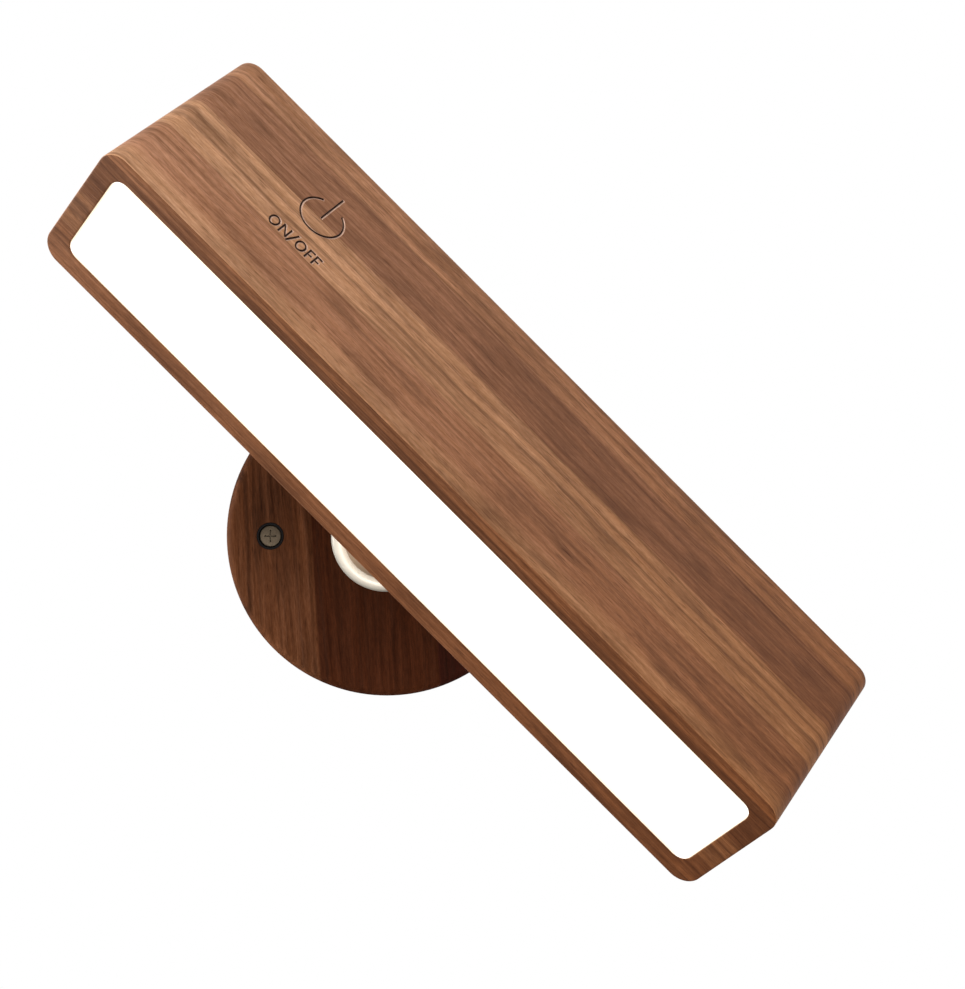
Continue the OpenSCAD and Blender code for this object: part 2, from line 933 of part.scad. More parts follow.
// Sprung contact between the control board and the electrode
module touch_pin() {
  barrel_l = (electrode_bottom - board_top) / 2;
  color(brass)
    on_bar()
      translate([mark_x, touch_y, board_top])
        union() {
          cylinder(d = pin_barrel_d, h = barrel_l);
          cylinder(d = pin_plunger_d, h = electrode_bottom - board_top);
        }
}

// Leads inside the bar
module led_lead() {
  color(red)
    on_bar()
      translate([led_lead_x, 0, board_top + led_lead_d / 2])
        bar_pin(led_lead_d, led_board_back, board_front + led_lead_end);
}

module battery_lead() {
  start_x = mark_x + board_l / 2 - 2 * board_edge - small_head_d;
  lead_y = inner_back - cradle_wall - small_head_d - board_edge;
  color(red)
    on_bar()
      translate([start_x, lead_y, board_top + cell_lead_d / 2])
        rotate([0, 90, 0])
          cylinder(d = cell_lead_d, h = cradle_left - start_x);
}

base_disc();
socket_ring();
socket_bush();
back_plate();
back_plate_screws();
wall_screws();
screw_ferrules();
seat_cup();
seat_magnet();
seat_washer();
seat_screw();
ball();
ball_stud();
stud_washer();
stud_nut();
lamp_shell();
mount_plate();
mount_plate_screws();
diffuser();
light_tray();
led_board();
led_chips();
led_board_screws();
battery_cell();
battery_cradle();
cradle_screws();
battery_tabs();
control_board();
control_chips();
board_standoffs();
board_screws();
usb_socket();
indicator_light();
touch_electrode();
touch_pin();
led_lead();
battery_lead();
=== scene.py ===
import json
import math

import bmesh
import bpy
from mathutils import Matrix, Vector


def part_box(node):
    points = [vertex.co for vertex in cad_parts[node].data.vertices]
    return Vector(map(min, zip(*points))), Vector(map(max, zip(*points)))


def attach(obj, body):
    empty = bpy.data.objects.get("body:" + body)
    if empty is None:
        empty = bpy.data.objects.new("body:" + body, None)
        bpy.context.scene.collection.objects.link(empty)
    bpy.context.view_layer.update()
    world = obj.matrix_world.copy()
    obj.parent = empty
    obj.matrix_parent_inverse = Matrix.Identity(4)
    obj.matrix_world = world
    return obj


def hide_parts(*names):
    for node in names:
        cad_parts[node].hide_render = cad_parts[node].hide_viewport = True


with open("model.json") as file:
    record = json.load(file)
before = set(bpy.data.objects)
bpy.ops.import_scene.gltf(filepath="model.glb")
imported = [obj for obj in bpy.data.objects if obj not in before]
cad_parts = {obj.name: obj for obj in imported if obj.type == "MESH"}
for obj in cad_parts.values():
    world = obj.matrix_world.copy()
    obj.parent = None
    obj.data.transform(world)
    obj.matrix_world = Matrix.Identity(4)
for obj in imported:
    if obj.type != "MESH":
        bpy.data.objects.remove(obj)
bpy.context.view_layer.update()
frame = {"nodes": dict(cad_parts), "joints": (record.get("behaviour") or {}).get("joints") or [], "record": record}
mm = 0.001
scene = bpy.context.scene
scene.view_settings.view_transform = "Standard"
print("frame loaded:", len(frame["nodes"]), "nodes")

# Camera
cameraSet = {
    "place": (0.01865, -0.72973, 0.02140),
    "turn": (89.267, 0.019, -0.777),  # degrees
    "lens": 87.86,
}


def makeCamera(values):
    data = bpy.data.cameras.new("camera")
    data.lens = values["lens"]
    data.clip_start = 0.01
    data.clip_end = 20
    camera = bpy.data.objects.new("camera", data)
    camera.location = values["place"]
    camera.rotation_euler = [math.radians(a) for a in values["turn"]]
    scene.collection.objects.link(camera)
    scene.camera = camera


makeCamera(cameraSet)

# Frames of the bar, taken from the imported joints, and of the base
joints = {j["name"]: j for j in frame["joints"]}
ballLow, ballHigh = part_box("ball")
ballMid = (ballLow + ballHigh) / 2
alongBar = Vector(joints["tilt"]["axis"]).normalized()
upBar = Vector(joints["spin"]["axis"]).normalized()
backBar = upBar.cross(alongBar)
barSet = {
    "length": 250 * mm,
    "height": 45 * mm,
    "depth": 66.6 * mm,
    "cornerR": 6 * mm,
    "ease": 0.4 * mm,  # softened long edges
    "rim": 6.2 * mm,
    "windowR": 4 * mm,
    "lipEase": 0.3 * mm,
    "trayBack": 17 * mm,
    "shoulder": 2 * mm,
    "backWall": 5 * mm,
    "standOff": 19.2 * mm,
    "mountX": -1.6 * mm,
    "guard": 0.5 * mm,
    "cornerSteps": 12,
    "easeSteps": 4,
}


def axesMatrix(x, y, z, origin):
    turn = Matrix((x, y, z)).transposed()
    return Matrix.Translation(origin) @ turn.to_4x4()


barOrigin = (
    ballMid
    - alongBar * barSet["mountX"]
    - backBar * barSet["depth"] / 2
    + upBar * barSet["standOff"]
)
barPlace = axesMatrix(alongBar, backBar, upBar, barOrigin)  # x along, y back, z up
studPlace = axesMatrix(alongBar, backBar, upBar, ballMid)  # z from the ball to the bar
basePlace = axesMatrix(Vector((1, 0, 0)), Vector((0, 0, 1)), Vector((0, -1, 0)), Vector())


# Material helpers
def srgb(r, g, b):
    def one(c):
        c /= 255
        return c / 12.92 if c <= 0.04045 else ((c + 0.055) / 1.055) ** 2.4

    return one(r), one(g), one(b), 1


def startMaterial(name):
    material = bpy.data.materials.new(name)
    material.use_nodes = True
    tree = material.node_tree
    tree.nodes.clear()
    out = tree.nodes.new("ShaderNodeOutputMaterial")
    skin = tree.nodes.new("ShaderNodeBsdfPrincipled")
    tree.links.new(skin.outputs["BSDF"], out.inputs["Surface"])
    return material, tree, skin


def put(tree, socket, value):
    if isinstance(value, bpy.types.NodeSocket):
        tree.links.new(value, socket)
    else:
        socket.default_value = value


def mathNode(tree, operation, a, b=0.0, clamp=False):
    node = tree.nodes.new("ShaderNodeMath")
    node.operation = operation
    node.use_clamp = clamp
    put(tree, node.inputs[0], a)
    put(tree, node.inputs[1], b)
    return node.outputs[0]


def mixNode(tree, amount, a, b, blend="MIX"):
    node = tree.nodes.new("ShaderNodeMix")
    node.data_type = "RGBA"
    node.blend_type = blend
    put(tree, node.inputs["Factor"], amount)
    put(tree, node.inputs[6], a)
    put(tree, node.inputs[7], b)
    return node.outputs[2]


def rangeNode(tree, value, fromLow, fromHigh, toLow=0.0, toHigh=1.0):
    node = tree.nodes.new("ShaderNodeMapRange")
    for key, number in zip(range(5), (value, fromLow, fromHigh, toLow, toHigh)):
        put(tree, node.inputs[key], number)
    return node.outputs[0]


def noiseNode(tree, coords, stretch, detail=2.0, roughness=0.5, offset=(0, 0, 0)):
    place = tree.nodes.new("ShaderNodeMapping")
    place.inputs["Scale"].default_value = stretch
    place.inputs["Location"].default_value = offset
    tree.links.new(coords, place.inputs["Vector"])
    node = tree.nodes.new("ShaderNodeTexNoise")
    node.inputs["Scale"].default_value = 1
    node.inputs["Detail"].default_value = detail
    node.inputs["Roughness"].default_value = roughness
    tree.links.new(place.outputs[0], node.inputs["Vector"])
    return node.outputs["Fac"]


def lineNode(tree, amount, detail, roughness):
    node = tree.nodes.new("ShaderNodeTexNoise")
    node.noise_dimensions = "1D"
    node.inputs["Scale"].default_value = 1
    node.inputs["Detail"].default_value = detail
    node.inputs["Roughness"].default_value = roughness
    tree.links.new(amount, node.inputs["W"])
    return node.outputs["Fac"]


def vectorNode(tree, operation, a, b):
    node = tree.nodes.new("ShaderNodeVectorMath")
    node.operation = operation
    put(tree, node.inputs[0], a)
    put(tree, node.inputs["Scale"] if operation == "SCALE" else node.inputs[1], b)
    return node.outputs[0]


def rampNode(tree, amount, stops):
    node = tree.nodes.new("ShaderNodeValToRGB")
    ramp = node.color_ramp
    while len(ramp.elements) < len(stops):
        ramp.elements.new(1)
    for element, (at, colour) in zip(ramp.elements, stops):
        element.position = at
        element.color = colour
    tree.links.new(amount, node.inputs[0])
    return node.outputs[0]


def bumpNode(tree, height, strength, distance):
    node = tree.nodes.new("ShaderNodeBump")
    node.inputs["Strength"].default_value = strength
    node.inputs["Distance"].default_value = distance
    tree.links.new(height, node.inputs["Height"])
    return node.outputs[0]


def objectCoords(tree, place=None):
    source = tree.nodes.new("ShaderNodeTexCoord")
    turn = tree.nodes.new("ShaderNodeMapping")  # metres to millimetres in the piece's own axes
    turn.vector_type = "TEXTURE"
    turn.inputs["Scale"].default_value = (mm, mm, mm)
    if place is not None:
        turn.inputs["Location"].default_value = place.to_translation()
        turn.inputs["Rotation"].default_value = place.to_euler()
    tree.links.new(source.outputs["Object"], turn.inputs["Vector"])
    return turn.outputs[0]


# Walnut glued up from staves: the grain runs along the piece's x
walnutTones = {
    "tan": srgb(173, 125, 87),
    "mid": srgb(160, 111, 76),
    "rust": srgb(152, 104, 72),
    "umber": srgb(138, 93, 64),
    "deep": srgb(76, 43, 22),
}
barWalnut = {
    "over": "Y",  # axis that the staves are laid side by side on
    "scale": 1.0,
    "shift": 0.0,
    "lean": 0.0,  # slant of the staves
    "face": None,  # height of the face that the pattern is laid on, where it runs on into the depth
    "reach": 125,  # the painted light runs from minus this to this along the grain
    "wrap": (119, 125, 45),  # the rounded ends: from x, to x, top
    "paintedLightEnds": ((1.08, 1.15, 1.31, 1), (0.9, 0.75, 0.6, 1)),  # painted light: the left end lighter and paler, the right end darker
    # where each stave starts in mm, and its tone
    "staves": [(-20, "rust"), (22.6, "tan"), (38.6, "umber"), (56.6, "mid"), (72.6, "tan")],
    "strip": [(3.5, "tan"), (8.5, "rust")],  # paler edge of the first stave: tones that blend
    "knots": [  # x, across, reach, width in mm, then depth of colour
        (65.5, 47.8, 5.5, 2.2, 0.5),
        (108.5, 48.4, 5.0, 2.4, 0.35),
        (-106.3, 47.6, 5.0, 1.9, 0.42),
        (-64.0, 48.4, 6.0, 1.6, 0.25),
        (35.0, 14.0, 6.5, 2.0, 0.45),
        (-43.8, 7.9, 2.2, 0.5, 0.6),
        (84.0, 56.0, 15.0, 0.45, 0.5),
    ],
    "tones": walnutTones,
    "bend": 1.7,  # millimetres the growth lines wander inside a stave
    "growth": 0.63,
    "mottle": 0.6,
    "streak": 0.29,
    "fibre": 0.22,
    "pore": 0.5,
    "shine": 0.12,
    "rough": (0.5, 0.62),
    "hues": (0.8, 1.0, 1.3),  # how strongly red, green and blue follow light and dark lines
}
# The light face's walnut: the bar's walnut in darker tones, painted shade on the face that looks down and forward
shadedFrontWalnut = {
    **barWalnut,
    "over": "Z",
    "strip": [],
    "scale": 1.24,
    "shift": 6.4,
    "wrap": None,
    "staves": [(-20, "russet"), (22.6, "tan"), (38.6, "umber"), (58.4, "mid"), (72.6, "tan")],
    "knots": [(62.0, 55.0, 45.0, 0.8, 0.45), (-70.0, 54.0, 24.0, 1.2, 0.3), (-45.0, 54.5, 10.0, 1.0, 0.3)],
    "tones": {
        "tan": srgb(113, 78, 54),
        "mid": srgb(117, 78, 52),
        "umber": srgb(92, 60, 40),
        "russet": srgb(109, 72, 48),
        "deep": srgb(50, 28, 16),
    },
    # painted shade that grows towards the right end
    "paintedLightEnds": ((1.0, 0.96, 0.94, 1), (0.78, 0.62, 0.46, 1)),
    "shine": 0.06,
}
# The base's walnut: the bar's walnut in much darker tones, painted shade for the base that sits in the bar's
# shadow
shadedBaseWalnut = {
    **barWalnut,
    "lean": 0.062,
    "face": -16,
    "strip": [],
    "reach": 47.5,
    "wrap": None,
    "paintedLightEnds": ((1.5, 1.52, 1.56, 1), (0.62, 0.56, 0.48, 1)),  # painted light at the foot, painted shade at the head
    # The stave next to the bar is a darker stave with the bar's shadow painted into its tone
    "staves": [(-60, "mid"), (-22.2, "umber"), (13, "staveAndBarShadow"), (34, "umber")],
    "knots": [
        (0.0, -38.0, 9.0, 1.6, 0.55),
        (14.0, -36.5, 9.0, 1.4, 0.45),
        (12.0, -32.5, 10.0, 2.5, 0.4),
        (-9.0, -32.5, 8.0, 2.0, 0.25),
    ],
    "tones": {
        "mid": srgb(77, 45, 26),
        "umber": srgb(51, 23, 9),
        "staveAndBarShadow": srgb(36, 12, 6),
        "deep": srgb(26, 12, 6),
    },
    "growth": 0.62,
    "mottle": 0.5,
    "streak": 0.4,
    "fibre": 0.28,
    "pore": 0.35,
    "shine": 0.02,
    "rough": (0.6, 0.75),
}


grainNoise = {  # per millimetre along, across and into the wood, then detail, roughness and offset
    "sway": ((0.014, 0.05, 0.05), 2, 0.5, (3.1, 0.4, 1.7)),
    "ripple": ((0.05, 0.4, 0.4), 3, 0.55, (8.3, 2.2, 5.9)),
    "streaks": ((0.03, 0.7, 0.7), 4, 0.62, (1.3, 7.7, 4.1)),
    "fibres": ((0.42, 2.5, 2.5), 3, 0.65, (2.4, 6.6, 0.8)),
    "clouds": ((0.036, 0.18, 0.18), 3, 0.6, (6.1, 4.8, 2.6)),
    "pores": ((0.18, 2.2, 2.2), 1, 0.4, (7.2, 3.3, 6.1)),
}
staveJump = (161.7, 43.1)  # millimetres along and across, so that each stave has its own grain


def joinNode(tree, x, y, z=0.0):
    node = tree.nodes.new("ShaderNodeCombineXYZ")
    put(tree, node.inputs["X"], x)
    put(tree, node.inputs["Y"], y)
    put(tree, node.inputs["Z"], z)
    return node.outputs[0]


def wrapEnds(tree, split, values):  # carries the grain over the rounded ends and down them
    x = split.outputs["X"]
    start, end, top = values
    near = rangeNode(tree, mathNode(tree, "ABSOLUTE", x), start, end)
    down = mathNode(tree, "MULTIPLY", near, mathNode(tree, "SUBTRACT", top, split.outputs["Z"]))
    return mathNode(tree, "ADD", x, mathNode(tree, "MULTIPLY", mathNode(tree, "SIGN", x), down))


def walnut(name, values, place):
    material, tree, skin = startMaterial(name)
    local = objectCoords(tree, place)
    split = tree.nodes.new("ShaderNodeSeparateXYZ")
    tree.links.new(local, split.inputs[0])
    across = mathNode(tree, "MULTIPLY", split.outputs[values["over"]], values["scale"])
    across = mathNode(tree, "ADD", across, values["shift"])
    across = mathNode(tree, "ADD", across, mathNode(tree, "MULTIPLY", split.outputs["X"], values["lean"]))
    edges = [at for at, tone in values["staves"][1:]]
    index = 0.0
    for edge in edges:
        index = mathNode(tree, "ADD", index, mathNode(tree, "GREATER_THAN", across, edge))
    along = wrapEnds(tree, split, values["wrap"]) if values["wrap"] else split.outputs["X"]
    jump = mathNode(tree, "ADD", along, mathNode(tree, "MULTIPLY", index, staveJump[0]))
    under = 0.0
    if values["face"] is not None:
        under = mathNode(tree, "SUBTRACT", split.outputs["Z"], values["face"])
    aside = mathNode(tree, "ADD", across, mathNode(tree, "MULTIPLY", index, staveJump[1]))
    flat = joinNode(tree, jump, aside, under)
    # growth lines bend inside a stave and round its knots
    sway = noiseNode(tree, flat, *grainNoise["sway"])
    ripple = noiseNode(tree, flat, *grainNoise["ripple"])
    bend = mathNode(tree, "ADD", rangeNode(tree, sway, 0.2, 0.8, -values["bend"], values["bend"]),
                    rangeNode(tree, ripple, 0.2, 0.8, -0.2, 0.2))
    field = mathNode(tree, "ADD", mathNode(tree, "ADD", across, under), bend)
    grain = vectorNode(tree, "ADD", flat, joinNode(tree, 0.0, bend))
    darkening = 0.0
    for x, y, reach, width, depth in values["knots"]:
        dx = mathNode(tree, "DIVIDE", mathNode(tree, "SUBTRACT", split.outputs["X"], x), reach)
        wavy = mathNode(tree, "ADD", across, rangeNode(tree, ripple, 0.2, 0.8, -width, width))
        dy = mathNode(tree, "DIVIDE", mathNode(tree, "SUBTRACT", wavy, y), width)
        far = mathNode(tree, "ADD", mathNode(tree, "MULTIPLY", dx, dx), mathNode(tree, "MULTIPLY", dy, dy))
        near = mathNode(tree, "EXPONENT", mathNode(tree, "MULTIPLY", far, -1.0))
        field = mathNode(tree, "ADD", field, mathNode(tree, "MULTIPLY", near, 1.6))
        darkening = mathNode(tree, "ADD", darkening, mathNode(tree, "MULTIPLY", near, depth))
    low = values["staves"][0][0]
    high = values["staves"][-1][0] + 10
    tones = values["tones"]
    stops = [((at - low) / (high - low), tones[tone]) for at, tone in values["strip"]]
    if not stops:
        stops = [(0.0, tones[values["staves"][0][1]])]
    for (at, tone), (before, toneBefore) in zip(values["staves"][1:], values["staves"]):
        stops.append(((at - 0.2 - low) / (high - low), tones[toneBefore]))
        stops.append(((at + 0.2 - low) / (high - low), tones[tone]))
    colour = rampNode(tree, rangeNode(tree, across, low, high), stops)
    growth = lineNode(tree, mathNode(tree, "MULTIPLY", field, 0.45), 6, 0.62)
    streaks = noiseNode(tree, grain, *grainNoise["streaks"])
    fibres = noiseNode(tree, grain, *grainNoise["fibres"])
    clouds = noiseNode(tree, grain, *grainNoise["clouds"])
    pores = noiseNode(tree, grain, *grainNoise["pores"])
    colour = mixNode(tree, rangeNode(tree, clouds, 0.45, 0.75, 0, values["mottle"]), colour, tones["deep"])
    growthAmount = rangeNode(tree, growth, 0.42, 0.78, 0, values["growth"])
    colour = mixNode(tree, growthAmount, colour, tones["deep"])
    poreAmount = rangeNode(tree, pores, 0.6, 0.74, 0, values["pore"])
    darkening = mathNode(tree, "ADD", darkening, poreAmount, clamp=True)
    colour = mixNode(tree, darkening, colour, tones["deep"])
    light = rangeNode(tree, streaks, 0.3, 0.7, 1 - values["streak"], 1 + values["streak"])
    glint = rangeNode(tree, fibres, 0.3, 0.7, 1 - values["fibre"], 1 + values["fibre"])
    lines = mathNode(tree, "MULTIPLY", light, glint)
    hues = [mathNode(tree, "POWER", lines, power) for power in values["hues"]]
    colour = vectorNode(tree, "MULTIPLY", colour, joinNode(tree, *hues))
    # Painted light along the grain: one end lighter, the other darker, multiplied into the colour
    paintedLightMix = mixNode(tree, rangeNode(tree, along, -values["reach"], values["reach"]), *values["paintedLightEnds"])
    put(tree, skin.inputs["Base Color"], mixNode(tree, 1.0, colour, paintedLightMix, "MULTIPLY"))
    put(tree, skin.inputs["Roughness"], rangeNode(tree, fibres, 0.3, 0.7, *values["rough"]))
    skin.inputs["Specular IOR Level"].default_value = values["shine"]
    relief = mathNode(tree, "SUBTRACT", fibres, mathNode(tree, "MULTIPLY", poreAmount, 1.2))
    put(tree, skin.inputs["Normal"], bumpNode(tree, relief, 0.25, 0.12 * mm))
    return material


# Metals and plastics: a fine grain in colour, gloss and height
def limbShadeNode(tree, local, start, end, tone):  # painted shade: darker towards a round piece's outer wall
    split = tree.nodes.new("ShaderNodeSeparateXYZ")
    tree.links.new(local, split.inputs[0])
    xx = mathNode(tree, "POWER", split.outputs["X"], 2.0)
    yy = mathNode(tree, "POWER", split.outputs["Y"], 2.0)
    return rangeNode(tree, mathNode(tree, "SQRT", mathNode(tree, "ADD", xx, yy)), start, end, 1.0, tone)


def metal(name, colour, rough, grain=(1.2, 1.2, 1.2), wear=0.12, place=None,
          bump=0.08, share=1.0, shine=0.5, limbShade=None):
    material, tree, skin = startMaterial(name)
    local = objectCoords(tree, place)
    fine = noiseNode(tree, local, grain, 4, 0.6)
    broad = noiseNode(tree, local, (0.12, 0.12, 0.12), 2, 0.5, (4, 9, 2))
    dull = tuple(c * (1 - wear) for c in colour[:3]) + (1,)
    tone = mixNode(tree, rangeNode(tree, broad, 0.3, 0.7), dull, colour)
    if limbShade is not None:
        tone = vectorNode(tree, "SCALE", tone, limbShadeNode(tree, local, *limbShade))
    put(tree, skin.inputs["Base Color"], tone)
    put(tree, skin.inputs["Roughness"], rangeNode(tree, fine, 0.3, 0.7, rough - 0.06, rough + 0.06))
    put(tree, skin.inputs["Normal"], bumpNode(tree, fine, bump, 0.05 * mm))
    skin.inputs["Metallic"].default_value = share
    skin.inputs["Specular IOR Level"].default_value = shine
    return material


def plastic(name, colour, rough, shine=0.4, bump=0.1, wear=0.14):
    material, tree, skin = startMaterial(name)
    local = objectCoords(tree)
    fine = noiseNode(tree, local, (2.5, 2.5, 2.5), 3, 0.6)
    broad = noiseNode(tree, local, (0.08, 0.08, 0.08), 2, 0.5)
    dark = tuple(c * (1 - wear) for c in colour[:3]) + (1,)
    put(tree, skin.inputs["Base Color"], mixNode(tree, rangeNode(tree, broad, 0.3, 0.7), dark, colour))
    put(tree, skin.inputs["Roughness"], rangeNode(tree, fine, 0.3, 0.7, rough - 0.05, rough + 0.07))
    put(tree, skin.inputs["Normal"], bumpNode(tree, fine, bump, 0.04 * mm))
    skin.inputs["Specular IOR Level"].default_value = shine
    return material


# Opal window: lit from behind, a little creamier towards its border
opalSet = {
    "middle": (1.0, 0.97, 0.91, 1),
    "border": (0.40, 0.32, 0.17, 1),
    "strength": 1.45,
    "band": (0.1, 0.9),  # millimetres from the edge
}


def opal(name, values, place):
    material, tree, skin = startMaterial(name)
    local = objectCoords(tree, place)
    split = tree.nodes.new("ShaderNodeSeparateXYZ")
    tree.links.new(local, split.inputs[0])
    halfL = (barSet["length"] / 2 - barSet["rim"]) / mm
    halfH = (barSet["height"] / 2 - barSet["rim"]) / mm
    fromEnd = mathNode(tree, "SUBTRACT", halfL, mathNode(tree, "ABSOLUTE", split.outputs["X"]))
    up = mathNode(tree, "SUBTRACT", split.outputs["Z"], barSet["height"] / 2 / mm)
    fromSide = mathNode(tree, "SUBTRACT", halfH, mathNode(tree, "ABSOLUTE", up))
    edge = mathNode(tree, "MINIMUM", fromEnd, fromSide)
    middle = rangeNode(tree, edge, *values["band"])
    mottle = noiseNode(tree, local, (0.5, 0.5, 0.5), 2, 0.5)
    put(tree, skin.inputs["Base Color"],
        mixNode(tree, rangeNode(tree, mottle, 0.3, 0.7), (0.28, 0.27, 0.25, 1), (0.32, 0.31, 0.29, 1)))
    put(tree, skin.inputs["Emission Color"], mixNode(tree, middle, values["border"], values["middle"]))
    skin.inputs["Emission Strength"].default_value = values["strength"]
    skin.inputs["Roughness"].default_value = 0.5
    return material


grainUp = axesMatrix(Vector((0, 0, 1)), Vector((1, 0, 0)), Vector((0, 1, 0)), Vector())  # x up the wall
barWood = walnut("barWood", barWalnut, barPlace)
frontWood = walnut("frontWood", shadedFrontWalnut, barPlace)
backWalnut = {
    **shadedFrontWalnut,
    "tones": {**walnutTones, "russet": walnutTones["mid"]},
    "paintedLightEnds": barWalnut["paintedLightEnds"],
}
backWood = walnut("backWood", backWalnut, barPlace)
baseWood = walnut("baseWood", shadedBaseWalnut, grainUp)
# The engraved grooves: walnut in dark tones, painted shade in the recess
grooveShadeWalnut = {
    **barWalnut,
    "staves": [(-20, "paintedLightTone"), (38.6, "paintedLightTone")],
    "strip": [],
    "knots": [],
    "tones": {"paintedLightTone": srgb(62, 41, 30), "deep": srgb(34, 22, 16)},
}
grooveWood = walnut("grooveWood", grooveShadeWalnut, barPlace)
# The softened groove edges: walnut in pale tones, a painted highlight on the wall that faces the light
easedHighlightWalnut = {**grooveShadeWalnut, "tones": {"paintedLightTone": srgb(180, 146, 122), "deep": srgb(120, 88, 66)}}
easedWood = walnut("easedWood", easedHighlightWalnut, barPlace)
opalGlow = opal("opalGlow", opalSet, barPlace)
# The ring's outer wall is darkened with painted shade where it stands on the base
ringNickel = metal("ringNickel", srgb(240, 232, 216), 0.4, (0.8, 0.8, 6), 0.04, basePlace,
                   share=0.08, shine=0.12, limbShade=(13.7, 15.7, 0.38))
satinNickel = metal("satinNickel", srgb(206, 200, 190), 0.36, (0.8, 0.8, 6), 0.06, studPlace, share=0.5)
ballSteel = metal("ballSteel", srgb(140, 118, 95), 0.42, (1.5, 1.5, 1.5), 0.08, share=0.35)
seatSteel = metal("seatSteel", srgb(170, 164, 156), 0.45)
plainSteel = metal("plainSteel", srgb(150, 150, 148), 0.48, (0.3, 0.3, 4))
screwSteel = metal("screwSteel", srgb(60, 52, 42), 0.5, (2, 2, 2), 0.2)
socketSteel = metal("socketSteel", srgb(190, 190, 188), 0.32)
magnetNickel = metal("magnetNickel", srgb(160, 160, 158), 0.3)
bushBrass = metal("bushBrass", srgb(205, 168, 96), 0.36)
copperFoil = metal("copperFoil", srgb(206, 132, 92), 0.35)
blackPlastic = plastic("blackPlastic", srgb(11, 10, 10), 0.6, 0.06)
whitePlastic = plastic("whitePlastic", srgb(232, 231, 226), 0.5)
boardWhite = plastic("boardWhite", srgb(226, 227, 224), 0.42)
phosphor = plastic("phosphor", srgb(236, 206, 92), 0.4)
cellWrap = plastic("cellWrap", srgb(58, 92, 150), 0.32)
boardGreen = plastic("boardGreen", srgb(28, 84, 52), 0.36)
indicatorRed = plastic("indicatorRed", srgb(196, 64, 54), 0.2, 0.6)
leadRed = plastic("leadRed", srgb(168, 36, 30), 0.42)
slotMaterial = {
    "base_walnut": baseWood, "bar_walnut": barWood, "satin_nickel": satinNickel,
    "ball_steel": ballSteel, "seat_steel": seatSteel, "plain_steel": plainSteel,
    "screw_steel": screwSteel, "socket_steel": socketSteel, "magnet": magnetNickel,
    "bush_brass": bushBrass, "copper": copperFoil, "black_plastic": blackPlastic,
    "white_plastic": whitePlastic, "opal_acrylic": opalGlow, "led_board": boardWhite,
    "led_phosphor": phosphor, "cell_wrap": cellWrap, "green_board": boardGreen,
    "indicator": indicatorRed, "lead_red": leadRed,
}
print("materials made:", len(bpy.data.materials))


# Mesh helpers
def loopPoints(length, height, radius, steps, guard=0.0):
    points = []
    for index, (sx, sz) in enumerate(((1, 1), (-1, 1), (-1, -1), (1, -1))):
        mid = (sx * (length / 2 - radius), sz * (height / 2 - radius))
        start, end = math.pi / 2 * index, math.pi / 2 * (index + 1)
        corner = [(mid[0] + radius * math.cos(a), mid[1] + radius * math.sin(a))
                  for a in (start + (end - start) * step / steps for step in range(steps + 1))]
        if guard:  # a point just outside each end of the arc keeps the flat faces flat
            first, last = corner[0], corner[-1]
            corner.insert(0, (first[0] + guard * math.sin(start), first[1] - guard * math.cos(start)))
            corner.append((last[0] - guard * math.sin(end), last[1] + guard * math.cos(end)))
        points += corner
    return points


def arcPoints(mid, radius, fromAngle, toAngle, steps):
    angles = [math.radians(fromAngle + (toAngle - fromAngle) * s / steps) for s in range(steps + 1)]
    return [(mid[0] + radius * math.cos(a), mid[1] + radius * math.sin(a)) for a in angles]


def skinLoops(bm, loops, closeEnds=True):
    rings = [[bm.verts.new(p) for p in loop] for loop in loops]
    count = len(rings[0])
    for one, two in zip(rings, rings[1:]):
        for k in range(count):
            bm.faces.new((one[k], one[(k + 1) % count], two[(k + 1) % count], two[k]))
    if closeEnds:
        bm.faces.new(rings[0][::-1])
        bm.faces.new(rings[-1])
    return rings


def meshFrom(bm, name, place=None, smooth=32):
    bmesh.ops.remove_doubles(bm, verts=bm.verts, dist=1e-7)
    bmesh.ops.recalc_face_normals(bm, faces=bm.faces)
    mesh = bpy.data.meshes.new(name)
    bm.to_mesh(mesh)
    bm.free()
    if place is not None:
        mesh.transform(place)
    softenMesh(mesh, smooth)
    return mesh


def softenMesh(mesh, smooth=32):
    mesh.polygons.foreach_set("use_smooth", [True] * len(mesh.polygons))
    mesh.set_sharp_from_angle(angle=math.radians(smooth))


def lathe(profile, steps, closed=True):
    bm = bmesh.new()
    columns = []
    for s in range(steps):
        angle = 2 * math.pi * s / steps
        columns.append([bm.verts.new((r * math.cos(angle), r * math.sin(angle), h)) for r, h in profile])
    last = len(profile) if closed else len(profile) - 1
    for s in range(steps):
        one, two = columns[s], columns[(s + 1) % steps]
        for k in range(last):
            n = (k + 1) % len(profile)
            bm.faces.new((one[k], two[k], two[n], one[n]))
    bmesh.ops.remove_doubles(bm, verts=bm.verts, dist=1e-7)
    bmesh.ops.dissolve_degenerate(bm, edges=bm.edges, dist=1e-8)
    return bm


def addObject(name, mesh, *materials):
    obj = bpy.data.objects.new(name, mesh)
    for material in materials:
        obj.data.materials.append(material)
    scene.collection.objects.link(obj)
    return obj


def bakeModifiers(obj):
    bpy.context.view_layer.update()
    graph = bpy.context.evaluated_depsgraph_get()
    mesh = bpy.data.meshes.new_from_object(obj.evaluated_get(graph))
    mesh.name = obj.name
    obj.modifiers.clear()
    old = obj.data
    obj.data = mesh
    bpy.data.meshes.remove(old)
    return obj


def carve(obj, cutter, smooth=32, crossing=False):
    change = obj.modifiers.new("carve", "BOOLEAN")
    change.operation = "DIFFERENCE"
    change.solver = "EXACT"
    change.use_self = crossing
    change.object = cutter
    if hasattr(change, "material_mode"):
        change.material_mode = "TRANSFER"
    bakeModifiers(obj)
    bpy.data.objects.remove(cutter)
    softenMesh(obj.data, smooth)
    return obj


def place(obj, body, slot, *nodes):
    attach(obj, body)
    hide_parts(*nodes)
    return obj


